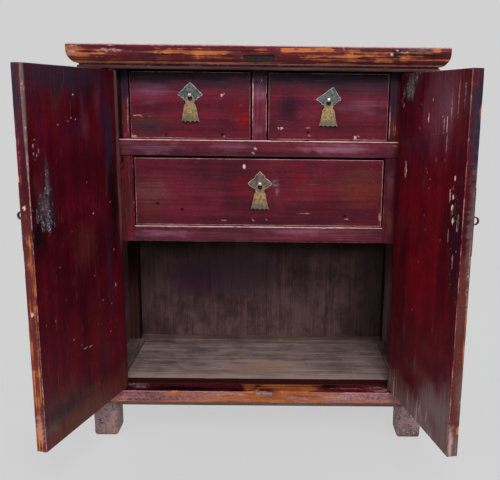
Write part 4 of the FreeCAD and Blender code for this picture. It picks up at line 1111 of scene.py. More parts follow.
def make_low_frame():
    corners = [
        (FRONT_Y + 6.0, SILL_LOW), (-POST_Y, SILL_LOW), (-POST_Y, SILL_HIGH), (FRONT_Y, SILL_HIGH),
        (FRONT_Y, SILL_POINT),
    ]
    beam = sweep("x", (FIT - INNER_X, INNER_X - FIT), corners, [1.2, 1.0, 0.8, 2.4, 1.6],
                 sides=[9, 20, 8, 4, 6], step=5, ends=(0.3, 0.3), wear=1.0, seed=60)
    marks = [
        seen_marks((0, FRONT_Y, 95), TOWARDS_FRONT, SILL_MARKS),
        seen_marks((0, 0, SILL_HIGH), UPWARD, SILL_TOP_MARKS, (1.0, 3.2)),
    ]
    fixed("sill", [beam, wedge(-1), wedge(1)], [LACQUER["x"]], seed=60,
          painters=[toned(edge=0.6), sill_paint] + marks)
    for name, side in SIDES:
        rail = board("y", mirrored(side, 285.0, OUTER_X), (-POST_Y, POST_Y), LOW_RAIL, 2.0,
                     wear=1.0, seed=63 + side, step=10)
        fixed(f"side_rail_{name}", [rail], COVERED["y"],
              pick=lambda n, c, way=-side: 1 if n.x * way > 0.3 or n.z > 0.5 else 0,
              painters=[toned(edge=0.5, brown=0.25, deep=0.15)], seed=63)
    rail = board("x", (-INNER_X, INNER_X), (POST_Y, REAR_Y), LOW_RAIL, 2.0, wear=1.0, seed=66)
    fixed("back_rail_bottom", [rail], COVERED["x"], seed=66,
          pick=lambda n, c: 1 if n.y < -0.3 or n.z > 0.5 else 0,
          painters=[toned(edge=0.5, brown=0.45, deep=0.15)])


PLANK_LAP = 0.35


def planks(axis, cuts, low, high, spans, seed, **options):
    """Boards side by side: cuts are the places of their joints."""
    places = [low] + list(cuts) + [high]
    parts = []
    for number, (a, b) in enumerate(zip(places[:-1], places[1:])):
        start = a - (PLANK_LAP if number else 0.0)
        stop = b + (PLANK_LAP if number < len(cuts) else 0.0)
        parts.append(board(axis, *spans(start, stop), 0.6, wear=0.7, seed=seed + number,
                           ends=(0.4, 0.4), **options))
    return parts


def floor_paint(data):
    """The floor: paler and tan in the middle, dark red along its front edge, paler towards the
    front and darker towards the back.
    """
    co = data["co"]
    x, y = co[:, 0], co[:, 1]
    up = top_side(data)
    lip = front_side(data) & (y < -100)
    cloud = noise(co, (60, 26, 10), 71, 3)
    tan = bell((x, -10, 130), (y, -50, 45)) * (0.1 + 0.8 * cloud)
    raise_to(data, pale=up * bell((x, 10, 150), (y, -40, 60)) * (0.2 + 0.6 * cloud),
             orange=up * tan, red=lip, deep=lip * 0.35, blue=up * ramp(cloud, 0.55, 0.8) * 0.3)
    raise_to(data, pale=up * ramp(-y, 40, 112) * 0.52, deep=up * ramp(y, 60, 104) * 0.3)


BACK_CUTS = (-128.0, 12.0, 158.0)


def back_paint(data):
    """Inside, the back panel is darkened at its top and sides as painted shade, smoky blue midway,
    stained below.
    """
    co = data["co"]
    x, z = co[:, 0], co[:, 2]
    inner = data["normal"][:, 1] < 0.3
    cloud = noise(co, (60, 20, 90), 72, 3)
    small = noise(co, (26, 20, 30), 73, 3)
    # Painted shade: darker towards the top and the sides.
    dark = np.maximum(ramp(z, 295, 370) * 0.85, ramp(np.abs(x + 25), 170, 300) * 0.6)
    joint = np.min([np.abs(x - cut) for cut in BACK_CUTS], axis=0)
    raise_to(data, deep=np.where(inner, dark, 0.2) + (cloud - 0.5) * 0.3,
             blue=inner * bell((x, -70, 110), (z, 290, 55)) * (0.3 + 0.6 * cloud),
             violet=inner * bell((x, -160, 70), (z, 270, 50)) * 0.8,
             orange=inner * bell((z, 200, 60)) * ramp(cloud, 0.45, 0.75) * 0.35,
             pit=ramp(small, 0.72, 0.82) * ramp(z, 120, 150) * 0.3)
    raise_to(data, deep=ramp(-joint, -2.6, -0.6) * 0.5)
    data["wear"][:, 0] = 0.0


def make_boards():
    floor = planks("x", (-22.0, 44.0), -113.4, 107.0,
                   lambda a, b: ((-285.0, 285.0), (a, b), (SILL_HIGH, 118.0)), 70, step=9, sides=9)
    fixed("floor_board", floor, [FLOOR_WOOD], slot="bare_wood", painters=[floor_paint], seed=70)
    back = planks("z", BACK_CUTS, -303.0, 303.0, lambda a, b: ((a, b), (130.0, 140.0), PANEL_Z), 75,
                  step=14, sides=12)
    fixed("back_panel", back, [BACK_WOOD], slot="bare_wood", painters=[back_paint], seed=75)
    for name, side in SIDES:
        across = mirrored(side, 318.0, 328.0)
        parts = planks("z", (8.0,), -107.0, 107.0, lambda a, b: (across, (a, b), PANEL_Z),
                       80 + side, step=14, sides=14)
        fixed(f"side_panel_{name}", parts, [LACQUER["z"], BACK_WOOD], seed=80 + side,
              painters=[toned(edge=0.5, brown=0.2, deep=0.2)],
              pick=lambda n, c, way=-side: 1 if n.x * way > 0.5 else 0)


# ---- drawer face

def line_wear(level, reach, pale):
    """A rubbed line along an arris at a height."""
    def paint(data):
        co = data["co"]
        streak = noise(co, (45, 20, 3), 91, 3)
        line = ramp(-np.abs(co[:, 2] - level), -reach, -0.3) * front_side(data)
        raise_to(data, pale=line * (0.5 + 0.7 * streak) * pale)
    return paint


def shaded_under(level):
    """The lower arris of a rail is lost in the black of the gap below it."""
    def paint(data):
        raise_to(data, pit=ramp(-data["co"][:, 2], -level - 2.2, -level - 0.9))
    return paint


UPPER_RAIL_MARKS = [
    (390, 148, 14, 5, "brown", 0.8), (396, 146, 5, 2, "orange", 0.5),
    (256, 149, 2.2, 2.6, "pale", 1.0, 0.4), (259, 144, 2.0, 2.0, "pale", 1.0, 0.3),
    (253, 152, 2.0, 2.0, "pale", 0.8), (150, 148, 60, 12, "blue", 0.4),
    (152, 148, 66, 12, "haze", 0.6), (125, 150, 12, 12, "brown", 0.8),
    (340, 149, 80, 10, "haze", 0.8), (230, 147, 70, 10, "haze", 0.5),
    (265, 148, 20, 8, "red", 0.5), (300, 143, 40, 5, "red", 0.35),
    (180, 147, 30, 8, "violet", 0.5),
]
LOWER_RAIL_MARKS = [
    (160, 233, 60, 10, "haze", 0.7), (300, 232, 90, 9, "haze", 0.55),
    (350, 234, 70, 10, "brown", 0.6), (320, 234, 110, 12, "red", 0.45),
    (220, 236, 60, 5, "red", 0.4), (310, 236, 50, 3, "red", 0.4), (180, 240, 60, 3, "violet", 0.5),
]
# The blue marks at the stiles' tops are painted shade under the top; the deep marks down the left
# stile's left side are painted shade beside the left door's hinge edge.
LEFT_STILE_MARKS = [
    (125, 84, 8, 44, "blue", 1.0), (125, 80, 6, 30, "haze", 0.3),
    (120.6, 120, 3.5, 130, "deep", 0.9), (124, 114, 9, 40, "brown", 0.6),
    (124, 114, 9, 44, "deep", 0.3), (127.6, 115, 0.9, 44, "pale", 0.6),
    (122, 121, 2, 4, "orange", 0.45), (121.6, 131, 1.6, 3, "orange", 0.4),
    (125, 135, 5, 4, "haze", 0.5), (122.4, 162, 5, 38, "red", 0.9),
    (123.6, 145, 2, 2, "pale", 0.6), (127.6, 190, 5, 96, "deep", 0.6),
    (127.6, 190, 5, 96, "brown", 1.0), (123, 212, 7, 50, "brown", 0.9),
    (123, 212, 7, 50, "deep", 0.45), (130.6, 190, 0.9, 80, "pale", 0.35),
]
RIGHT_STILE_MARKS = [
    (394, 95, 8, 40, "blue", 0.95), (395, 132, 5, 12, "orange", 0.5),
    (393, 128, 8, 20, "brown", 0.9), (389.5, 124, 1.2, 36, "pale", 0.6),
    (390, 180, 8, 40, "haze", 0.35), (390, 190, 10, 60, "brown", 0.5),
    (389, 225, 8, 26, "brown", 0.8), (390, 205, 1.0, 50, "pale", 0.4),
]
# The blue mark at the divider's top is painted shade under the top.
DIVIDER_MARKS = [
    (259, 90, 14, 26, "haze", 0.7), (259, 130, 14, 12, "haze", 0.6), (261, 82, 7, 9, "light", 0.4),
    (252.8, 105, 1.0, 70, "pale", 0.75), (266.4, 108, 1.0, 66, "pale", 0.55),
    (258, 118, 12, 20, "red", 0.3), (262, 141, 8, 5, "red", 0.6), (258, 75, 14, 12, "blue", 0.5),
]


def make_drawer_face():
    def seen(marks):
        return seen_marks((0, FACE_Y, 600), TOWARDS_FRONT, marks)

    def bare_behind(normal, _):
        return 1 if normal.y > 0.8 else 0

    close = {"step": 5, "ends": (0.3, 0.3)}
    across = {"radii": [1.6, 0.8, 0.8, 2.2], "sides": [14, 14, 14, 4], "wear": 1.0, **close}
    upright = {"sides": [4, 14, 14, 14], "ends": (0.3, 0.3)}
    behind = (-STILE_X, STILE_X)
    strip = board("x", (-INNER_X, INNER_X), (FACE_Y, UPPER_LAP), UPPER_RAIL, seed=90, **across)
    rear = board("x", behind, (UPPER_LAP, RAIL_REAR), UPPER_RAIL, 0.8, seed=91, ends=(0.3, 0.3))
    fixed("drawer_rail_upper", [strip, rear], COVERED["x"], pick=bare_behind, seed=90,
          painters=[toned(edge=0.45, chips=0.1, haze=0.2, brown=0.1), line_wear(623.0, 2.3, 1.7),
                    shaded_under(UPPER_RAIL[0]), seen(UPPER_RAIL_MARKS)])
    middle = board("x", behind, (FACE_Y, RAIL_REAR), LOWER_RAIL, seed=93, **across)
    ends = [
        board("x", mirrored(side, STILE_X, INNER_X), (LOWER_LAP, RAIL_REAR), LOWER_RAIL, 0.8,
              seed=94 + side)
        for _, side in SIDES
    ]
    fixed("drawer_rail_lower", [middle] + ends, COVERED["x"], pick=bare_behind, seed=93,
          painters=[toned(edge=0.45, chips=0.1, haze=0.25), line_wear(449.0, 2.3, 1.9),
                    line_wear(LOWER_RAIL[0], 1.4, 0.6), seen(LOWER_RAIL_MARKS)])
    low, notch = (LOWER_RAIL[0], UPPER_RAIL[0] - FIT), (UPPER_RAIL[0] - FIT, UPPER_RAIL[1] + FIT)
    high = (UPPER_RAIL[1] + FIT, TOP_LOW - FIT)
    for (name, side), marks in zip(SIDES, (LEFT_STILE_MARKS, RIGHT_STILE_MARKS)):
        wide, narrow = mirrored(side, STILE_X, INNER_X), mirrored(side, UPPER_STILE_X, INNER_X)
        stile_y = (FACE_Y, STILE_REAR)
        radii = [1.4, 1.4, 0.6, 0.6]
        parts = [
            board("z", wide, stile_y, low, radii, step=6, seed=97 + side, **upright),
            board("z", narrow, stile_y, high, radii, step=6, seed=99 + side, **upright),
            board("z", wide, (UPPER_LAP + FIT, STILE_REAR), notch, 0.6, seed=101 + side),
        ]
        fixed(f"face_stile_{name}", parts, COVERED["z"], pick=bare_behind, seed=97 + side,
              painters=[toned(edge=0.5, chips=0.2, brown=0.2, blue=0.1), shade_under_top, seen(marks)])
    post = board("z", (-DIVIDER_X, DIVIDER_X), (FACE_Y, RAIL_REAR), high, [1.8, 1.8, 0.8, 0.8],
                 step=5, wear=1.2, seed=103, **upright)
    fixed("drawer_divider", [post], COVERED["z"], pick=bare_behind, seed=103,
          painters=[toned(edge=0.5, chips=0.1, haze=0.25), shade_under_top, seen(DIVIDER_MARKS)])


# ---- drawers

# The blue marks along the small drawers' tops are painted shade under the top.
LEFT_DRAWER_MARKS = [
    (150, 82, 46, 22, "blue", 0.6), (190, 76, 110, 8, "blue", 0.8),
    (150, 88, 50, 28, "haze", 0.55), (148, 124, 40, 26, "brown", 0.9),
    (150, 127, 46, 20, "blue", 0.6), (145, 116, 24, 1.4, "light", 0.4),
    (150, 121, 30, 1.2, "light", 0.36), (244, 120, 26, 34, "red", 0.7),
    (238, 108, 34, 26, "red", 0.5), (200, 112, 60, 14, "red", 0.3),
    (160, 108, 60, 16, "violet", 0.45), (222, 95, 2.6, 2.0, "pale", 1.0, 0.4),
    (224, 93, 1.4, 1.4, "pale", 0.8, 0.3), (222.5, 134.5, 4.0, 2.6, "pit", 0.9, 0.8),
    (223, 136, 5.0, 2.0, "pale", 0.6), (166, 134, 3.0, 2.0, "pit", 0.8, 0.6),
    (134, 136, 6.0, 3.0, "pale", 0.7), (138, 115.5, 10.0, 1.6, "pale", 0.6),
    (240, 105, 5.0, 2.6, "pale", 0.3), (168, 103, 3.0, 2.0, "pit", 0.5),
    (215, 82, 30, 8, "red", 0.2),
]
RIGHT_DRAWER_MARKS = [
    (325, 80, 110, 12, "blue", 0.9), (300, 86, 50, 14, "blue", 0.5),
    (365, 90, 36, 20, "haze", 0.3), (360, 105, 50, 20, "haze", 0.42),
    (288, 110, 32, 50, "violet", 0.7), (288, 108, 34, 44, "deep", 0.58),
    (280, 128.5, 14.0, 1.5, "pale", 0.9, 0.15), (308, 133, 4.0, 4.0, "pit", 0.8, 0.8),
    (308, 128, 4.0, 2.6, "pale", 0.5), (309, 135.5, 5.0, 1.4, "pale", 0.6),
    (355, 137.5, 3.0, 4.0, "pale", 0.8, 0.4), (358, 136, 3.4, 1.4, "pale", 0.7),
    (373.5, 138, 2.2, 1.8, "pale", 0.8, 0.3), (313, 127, 20, 12, "red", 0.45),
    (345, 118, 50, 16, "red", 0.25), (290, 110, 40, 30, "violet", 0.4),
    (378, 110, 8, 40, "blue", 0.5), (300, 112, 4.0, 1.4, "pale", 0.3),
]
WIDE_DRAWER_MARKS = [
    (150, 195, 60, 60, "brown", 0.75), (150, 190, 50, 50, "haze", 0.26),
    (205, 195, 60, 60, "haze", 0.15), (222, 178, 26, 24, "blue", 0.35),
    (360, 190, 60, 60, "brown", 0.75), (366, 196, 50, 50, "red", 0.4),
    (300, 195, 70, 50, "haze", 0.15), (320, 200, 50, 40, "red", 0.35),
    (382, 190, 8, 40, "brown", 0.7), (240, 185, 24, 40, "red", 0.45),
    (300, 178, 30, 24, "red", 0.5), (291, 196, 24, 14, "red", 0.5),
    (244.3, 166.7, 4.0, 4.6, "pale", 1.2, 0.4), (275.5, 184, 7.0, 6.0, "grey", 0.9),
    (275.5, 183, 4.0, 3.0, "pit", 0.5), (277, 192, 4.0, 8.0, "haze", 0.8),
    (277, 194, 1.6, 5.0, "pale", 0.4), (157.5, 203.5, 3.2, 2.8, "pit", 0.9, 0.8),
    (182, 209.5, 3.6, 3.2, "pit", 0.9, 0.8), (203, 219, 6.0, 2.2, "pit", 0.5, 0.3),
    (224, 220, 6.0, 2.0, "pale", 0.5), (297, 181, 2.6, 2.2, "red", 0.9),
    (345, 216.5, 5.0, 2.6, "pit", 0.8, 0.4), (346, 219.5, 5.0, 1.8, "pale", 0.7),
    (253, 220, 5.0, 1.4, "pale", 0.6), (265, 220, 6.0, 1.4, "pale", 0.6),
    (305, 213.5, 12.0, 1.5, "pale", 0.5, 0.15), (358, 207, 14.0, 1.4, "pale", 0.35),
    (380, 218, 4.0, 12, "pale", 0.6), (191, 175, 4.0, 4.0, "pit", 0.4),
    (203, 183, 5.0, 4.0, "pit", 0.4), (252, 201, 4.0, 4.0, "pit", 0.3),
    (215, 168, 26, 14, "red", 0.3), (320, 215, 50, 10, "blue", 0.3),
]
DRAWERS = {
    "left": ((-253.8, -17.2), (625.0, 754.9), LEFT_DRAWER_MARKS),
    "right": ((17.2, 253.8), (625.0, 754.9), RIGHT_DRAWER_MARKS),
    "wide": ((-249.3, 249.3), (451.0, 587.4), WIDE_DRAWER_MARKS),
}


def frame_lines(x, z, strength):
    """Rubbed lines along a drawer front's own arrises, and painted shade for the black gap round
    it.
    """
    def paint(data):
        co = data["co"]
        streak = noise(co, (30, 20, 30), 111, 3)
        gap = np.minimum(np.minimum(co[:, 0] - x[0], x[1] - co[:, 0]), z[1] - co[:, 2])
        near = np.minimum(gap, co[:, 2] - z[0])
        line = ramp(-near, -2.8, -1.6) * front_side(data) * (0.25 + 0.85 * streak)
        raise_to(data, pale=line * strength, pit=ramp(-gap, -1.15, -0.75))
    return paint


def shade_under_top(data):
    """Painted shade below the top: everything there is darker and bluer."""
    co = data["co"]
    level = co[:, 2] + (noise(co, (50, 20, 7), 115, 3) - 0.5) * 34
    raise_to(data, blue=ramp(level, 694, 752) * 0.8, deep=ramp(level, 720, 758) * 0.8)
    data["wear"][:, 1] *= 1 - 0.8 * ramp(co[:, 2], 725, 745)


def make_drawers():
    for number, (name, (x, z, marks)) in enumerate(DRAWERS.items()):
        body = f"{name}_drawer"
        inset = (x[0] + 0.15, x[1] - 0.15)
        front = board("x", inset, (FACE_Y, DRAWER_FRONT_REAR), z, [1.3, 0.8, 0.8, 1.3],
                      sides=[14, 14, 14, 2.6], step=2.6, wear=0.9, seed=120 + number, sag=0.35)
        painters = [
            toned(edge=0.4, chips=0.15), frame_lines(x, z, 0.95 if name == "wide" else 0.7),
            shade_under_top, seen_marks((0, FACE_Y, 600), TOWARDS_FRONT, marks),
        ]
        piece(f"{body}_front_worn", body, [front], [DRAWER_LACQUER, INNER_WOOD["x"]],
              (f"{body}_front",), painters=painters, seed=120 + number,
              pick=lambda n, c: 1 if n.y > 0.8 else 0)
        for part, axis in (("left_side", "y"), ("right_side", "y"), ("back", "x"), ("bottom", "x")):
            dress(f"{body}_{part}", INNER_WOOD[axis])


def dress(node, material):
    """Give a solid that stays as it is its own finish."""
    mesh = NODES[node].data
    mesh.materials.clear()
    mesh.materials.append(material)
    mesh.polygons.foreach_set("material_index", [0] * len(mesh.polygons))
    mesh.update()


# ---- doors

# The deep mark down the left door's hinge side is painted shade.
LEFT_DOOR_MARKS = [
    (70, 76, 90, 34, "blue", 0.75), (60, 84, 60, 40, "violet", 0.5),
    (55, 92, 14, 30, "brown", 0.7), (54, 94, 14, 28, "deep", 0.5), (88, 92, 14, 40, "deep", 0.45),
    (36, 96, 12, 50, "deep", 0.4), (108, 130, 10, 96, "blue", 1.0),
    (102, 118, 14, 70, "violet", 0.6), (114, 203, 10, 90, "deep", 0.95),
    (110, 270, 10, 100, "blue", 0.6), (73, 128, 34, 40, "violet", 0.55),
    (40, 120, 20, 60, "violet", 0.5), (84, 122, 10, 50, "haze", 0.3),
    (96, 96, 10, 30, "haze", 0.3), (80, 195, 60, 110, "red", 0.18),
    (87, 246, 30, 40, "brown", 0.5), (47, 176, 4, 22, "light", 0.46),
    (47, 194, 7, 18, "light", 0.56), (45.5, 210, 12, 20, "light", 0.66),
    (47, 224, 10, 22, "light", 0.58), (47.5, 186, 5, 30, "grey", 0.5),
    (46, 208, 10, 30, "grey", 0.5), (50, 216, 6, 40, "light", 0.5),
    (41, 214, 6, 14, "light", 0.56), (43, 213, 10, 40, "blue", 0.8), (50, 205, 8, 50, "blue", 0.8),
    (44, 170, 10, 30, "blue", 0.5), (34, 205, 8, 44, "deep", 0.55),
    (46.5, 195, 1.4, 3.0, "pit", 1.0, 1.0), (50.7, 202, 1.2, 3.2, "pit", 1.0, 1.0),
    (51.4, 215, 1.3, 3.4, "pit", 1.0, 1.0), (53.5, 226.5, 1.2, 3.0, "pit", 1.0, 1.0),
    (53, 233.5, 1.2, 2.6, "pit", 1.0, 1.0), (44, 205, 1.2, 2.6, "pit", 0.7),
    (37, 238, 14, 34, "deep", 0.85), (37, 236, 12, 30, "violet", 0.8),
    (36, 190, 8, 60, "brown", 0.4), (73, 94.5, 1.1, 2.4, "pale", 0.92, 0.3),
    (58, 125, 1.3, 1.1, "pale", 0.82), (45.5, 174, 1.0, 1.3, "pale", 0.92),
    (87, 181.5, 1.0, 1.2, "pale", 0.82), (110, 201.5, 1.1, 1.3, "pale", 0.82),
    (93.5, 213.5, 1.1, 1.2, "pale", 0.78), (83, 246, 1.0, 1.2, "pale", 0.78),
    (103, 300, 1.1, 1.3, "pale", 0.82), (112, 303, 1.0, 1.6, "pale", 0.82),
    (56, 321, 1.3, 1.2, "pale", 0.78), (47, 326, 1.1, 1.3, "pale", 0.78),
    (98, 324, 1.0, 1.2, "pale", 0.78), (111, 331, 1.0, 1.6, "pale", 0.82),
    (116, 284, 1.0, 6.4, "pale", 0.72), (114, 250, 1.0, 4.0, "pale", 0.56),
    (66, 115.5, 1.6, 0.8, "pale", 0.64), (71, 117.5, 2.7, 0.9, "pale", 0.82),
    (75.5, 118.6, 1.9, 1.1, "pale", 0.87), (79, 119.6, 2.4, 0.8, "pale", 0.78),
    (82, 121, 1.6, 0.8, "pale", 0.64), (68, 121, 2.4, 0.7, "pale", 0.46),
    (33, 146, 0.6, 4.0, "pale", 0.74), (33.6, 154, 0.6, 4.0, "pale", 0.64),
    (34.5, 140, 2.4, 0.8, "pale", 0.69), (37.5, 141.6, 0.8, 1.6, "pale", 0.74),
    (38.5, 151, 0.6, 4.0, "pale", 0.64), (37, 156, 1.3, 2.4, "pale", 0.74),
    (35, 160, 2.4, 0.8, "pale", 0.55), (36, 145, 1.3, 0.8, "pale", 0.55),
    (91, 346, 4.0, 1.1, "pale", 0.64), (86, 348, 4.0, 1.0, "pale", 0.55),
    (82, 345, 1.6, 2.4, "pale", 0.55), (66, 300, 1.0, 2.4, "pale", 0.55),
    (74, 340, 1.0, 3.2, "pale", 0.46), (60, 268, 1.0, 1.6, "pale", 0.64),
    (95, 276, 0.9, 1.9, "pale", 0.64), (72, 232, 0.9, 1.6, "pale", 0.55),
    (70, 285, 70, 110, "red", 0.2), (98, 330, 24, 140, "brown", 0.3),
    (60, 350, 50, 70, "violet", 0.3), (106, 360, 14, 70, "blue", 0.5),
    (30, 300, 8, 120, "brown", 0.5), (33, 330, 10, 90, "violet", 0.5),
    (60, 412, 80, 34, "deep", 0.6), (64, 405, 70, 40, "brown", 0.55),
    (50, 428, 40, 20, "grey", 0.4), (92, 388, 24, 16, "grey", 0.3),
]
RIGHT_DOOR_MARKS = [
    (412, 82, 16, 16, "light", 0.42), (408, 92, 9, 22, "light", 0.42),
    (414, 80, 22, 14, "light", 0.38), (411, 86, 16, 22, "grey", 0.7),
    (403.5, 100, 6, 34, "light", 0.44), (416, 78, 14, 10, "light", 0.38),
    (412, 84, 26, 30, "blue", 0.7), (410, 82, 28, 24, "deep", 0.6),
    (411, 81, 1.0, 2.6, "pale", 0.7), (408, 88, 1.0, 2.4, "pale", 0.6),
    (404, 106, 1.0, 5.0, "pale", 0.7), (407, 75, 1.4, 1.0, "pale", 0.7),
    (412.5, 92, 1.0, 2.0, "pale", 0.5), (422, 104, 1.0, 2.0, "pale", 0.5),
    (417, 112, 1.0, 2.0, "pale", 0.5), (433, 135, 1.0, 2.0, "pale", 0.5),
    (430, 190, 1.4, 3.0, "light", 0.5), (426, 168, 1.0, 3.0, "pale", 0.5),
    (445, 160, 1.0, 2.0, "pale", 0.5), (424, 215, 1.0, 3.0, "pale", 0.5),
    (406, 86, 1.2, 3.4, "pit", 0.9), (411, 79, 1.2, 3.0, "pit", 0.8),
    (416, 85, 1.1, 2.6, "pit", 0.7), (450, 104, 44, 90, "brown", 0.6),
    (446, 104, 50, 80, "haze", 0.48), (445, 90, 30, 40, "deep", 0.3),
    (426, 84, 20, 24, "deep", 0.4), (452, 108, 1.1, 30, "pale", 0.57),
    (459, 96, 1.1, 34, "pale", 0.57), (444, 124, 1.0, 26, "pale", 0.57),
    (465, 104, 1.1, 40, "light", 0.5), (420, 145, 50, 44, "violet", 0.6),
    (408, 150, 16, 50, "blue", 0.4), (405.7, 169.5, 2.6, 15, "pale", 1.3, 0.4),
    (405.2, 171.5, 2.2, 14, "orange", 0.9), (412, 205, 44, 80, "red", 0.55),
    (420, 285, 70, 130, "red", 0.55), (432, 230, 50, 190, "red", 0.5),
    (430, 120, 40, 60, "red", 0.4), (402, 250, 8, 60, "deep", 0.4),
    (433, 99, 1.1, 3.5, "pale", 0.92), (428.6, 119, 1.3, 10, "pale", 1.09),
    (442.6, 116.4, 1.3, 1.6, "pale", 0.92), (447, 124, 1.2, 14, "pale", 1.2, 0.3),
    (446.6, 142, 0.9, 18, "pale", 0.69), (427, 172, 1.0, 1.6, "pale", 0.74),
    (430, 180, 1.0, 1.6, "pale", 0.74), (428.5, 188, 1.0, 1.6, "pale", 0.64),
    (455, 178.5, 1.6, 5, "pale", 1.3, 0.4), (453.4, 188, 1.4, 6, "orange", 1.0, 0.3),
    (453, 187, 0.8, 2.4, "pale", 0.88), (452, 208, 2.2, 6, "pale", 1.4, 0.5),
    (452, 212, 2.4, 8, "orange", 0.8), (452.5, 221, 1.8, 6, "pale", 1.3, 0.4),
    (453, 197, 1.6, 4, "pale", 1.2, 0.4), (464.3, 205.7, 1.6, 3, "pale", 1.4, 0.4),
    (462, 236, 1.0, 3.2, "pale", 0.74), (456, 252, 1.0, 2.4, "pale", 0.74),
    (454, 240, 12, 180, "deep", 0.45), (455, 235, 10, 150, "blue", 0.6),
    (455, 215, 8, 90, "light", 0.32), (457, 300, 8, 110, "light", 0.3),
    (450, 196, 1.4, 14, "pale", 0.80), (457, 226, 1.4, 14, "pale", 0.80),
    (448, 236, 1.2, 12, "pale", 0.69), (452, 262, 1.2, 16, "pale", 0.69),
    (440, 200, 14, 60, "violet", 0.3), (436, 340, 30, 70, "brown", 0.35),
    (425, 350, 40, 40, "brown", 0.35), (404, 330, 8, 80, "brown", 0.4),
    (420, 374, 46, 24, "brown", 0.6), (434, 408, 60, 44, "grey", 0.62),
    (440, 410, 60, 50, "haze", 0.35), (436, 400, 60, 44, "brown", 0.6),
    (425, 230, 1.0, 2.4, "pale", 0.64), (418, 262, 1.0, 1.6, "pale", 0.64),
    (440, 240, 1.0, 2.4, "pale", 0.55), (412, 310, 1.0, 2.4, "pale", 0.55),
    (432, 330, 1.0, 1.9, "pale", 0.55), (436, 160, 1.0, 4.8, "pale", 0.55),
    (420, 128, 1.0, 2.4, "pale", 0.64),
]
LEFT_EDGE_MARKS = [
    (12, 88, 14, 60, "blue", 0.95), (12, 88, 14, 56, "deep", 0.35), (10, 80, 10, 40, "haze", 0.3),
    (18, 125, 12, 50, "violet", 0.7), (14, 150, 8, 90, "brown", 0.8), (17, 150, 3, 80, "red", 0.6),
    (20, 160, 2, 80, "haze", 0.5), (23, 330, 12, 260, "red", 0.5),
    (23, 330, 12, 260, "brown", 0.9), (21, 330, 5, 250, "orange", 0.5),
    (27, 330, 4, 240, "haze", 0.6), (26, 340, 8, 200, "pale", 0.3),
    (17, 240, 4, 80, "violet", 0.5), (24, 208, 3.4, 5, "pale", 1.0, 0.6),
    (32, 315, 3, 5, "pale", 1.0, 0.6), (40, 430, 10, 30, "pale", 0.6),
    (42, 432, 8, 24, "grey", 0.6),
]
RIGHT_EDGE_MARKS = [
    (478, 120, 12, 120, "blue", 1.0), (478, 110, 10, 120, "haze", 0.25),
    (476, 150, 3, 60, "deep", 0.3), (472, 240, 10, 150, "grey", 0.55),
    (472, 240, 10, 150, "brown", 0.7), (472, 215, 10, 90, "blue", 0.55),
    (466, 330, 9, 90, "brown", 1.0), (465, 335, 3, 80, "orange", 0.4),
    (468, 280, 1.4, 100, "pale", 0.4), (460, 390, 12, 90, "brown", 1.0),
    (460, 395, 12, 80, "grey", 0.5),
]


def door_frame(name, side):
    """How far a door is turned at rest, in degrees, and the place of its pivot."""
    return OPENING[name] * side, (PIVOT[0] * side, PIVOT[1], 0.0)


def hinge_strip(pivot, side):
    """The door's rounded hinge edge: the left one has faded to grey brown above its middle."""
    def paint(data):
        co = data["co"]
        away = np.hypot(co[:, 0] - pivot[0], co[:, 1] - pivot[1])
        near = ramp(-away, -14.5, -12.0)
        faded = near * ramp(co[:, 2], 360, 480) * (side < 0)
        broad = noise(co, (12, 12, 70), 131, 3)
        fine = noise(co, (4, 4, 40), 133, 2)
        raise_to(data, deep=near * 0.3, grey=faded * (0.3 + 0.5 * broad), brown=faded * 0.6)
        raise_to(data, deep=faded * ramp(fine, 0.5, 0.75) * 0.6)
    return paint


def free_edge(corner, side, outward):
    """A door's free edge and its inner arris: rubbed, and on the left wide and grey at the top."""
    left = side < 0

    def paint(data):
        co = data["co"]
        z = co[:, 2]
        away = np.hypot(co[:, 0] - corner[0], co[:, 1] - corner[1])
        streak = noise(co, (30, 30, 26), 151 + side, 3)
        broad = noise(co, (60, 60, 120), 155 + side, 2)
        top = ramp(z, 520, 700)
        reach = 1.1 + 0.7 * streak + (3.2 if left else 0.0) * top
        line = ramp(-away / reach, -1.25, -0.6) * (1.0 if left else 0.75)
        raise_to(data, pale=line * (1 - 0.7 * top) * (0.2 + 0.65 * streak), brown=line * 0.8,
                 orange=line * (1 - top) * ramp(broad, 0.4, 0.6) * 0.5,
                 grey=line * (0.3 + 0.6 * top), light=line * top * (0.15 + 0.3 * streak))
        face = data["normal"] @ outward > 0.7
        if left:
            low = face * ramp(-z, -620, -440)
            raise_to(data, brown=low * 0.8, orange=low * (0.26 + 0.2 * streak), red=low * 0.3,
                     edge=low * (0.4 + 0.12 * broad))
        else:
            low = face * ramp(-z, -520, -380)
            raise_to(data, brown=low, grey=low * 0.26 * streak, deep=low * 0.2)
    return paint


def worn_foot(side):
    """The foot of each door is worn to a brown grey with upright streaks, the right one more."""
    amount = 1.6 if side > 0 else 0.35

    def paint(data):
        co = data["co"]
        broad = noise(co, (40, 40, 90), 141, 3)
        fine = noise(co, (4, 4, 80), 143, 2)
        foot = ramp(-co[:, 2] + (broad - 0.5) * 50, -200, -118)
        raise_to(data, brown=foot * 0.8, grey=foot * (0.08 + 0.5 * fine) * amount,
                 pale=foot * ramp(fine, 0.5, 0.75) * 0.4 * amount)
    return paint


def circle(pieces):
    """Points of a circle of radius 1 about zero."""
    angles = np.arange(pieces) * 2 * math.pi / pieces
    return np.stack([np.cos(angles), np.sin(angles)], axis=1)


def pivot_pin(low, high, pieces=24):
    """A door's round pivot along Z about the origin, rounded at both ends."""
    soft, round_by = 0.8, 0.25
    steps = [(low, soft), (low + round_by, round_by), (low + soft, 0.0), (high - soft, 0.0),
             (high - round_by, round_by), (high, soft)]
    ring = circle(pieces)
    co = [np.column_stack([ring * (PIVOT_RADIUS - less), np.full(pieces, z)]) for z, less in steps]
    normal = np.tile(np.column_stack([ring, np.zeros(pieces)]), (len(steps), 1))
    return closed_part(np.concatenate(co), normal, 0.3, len(steps))


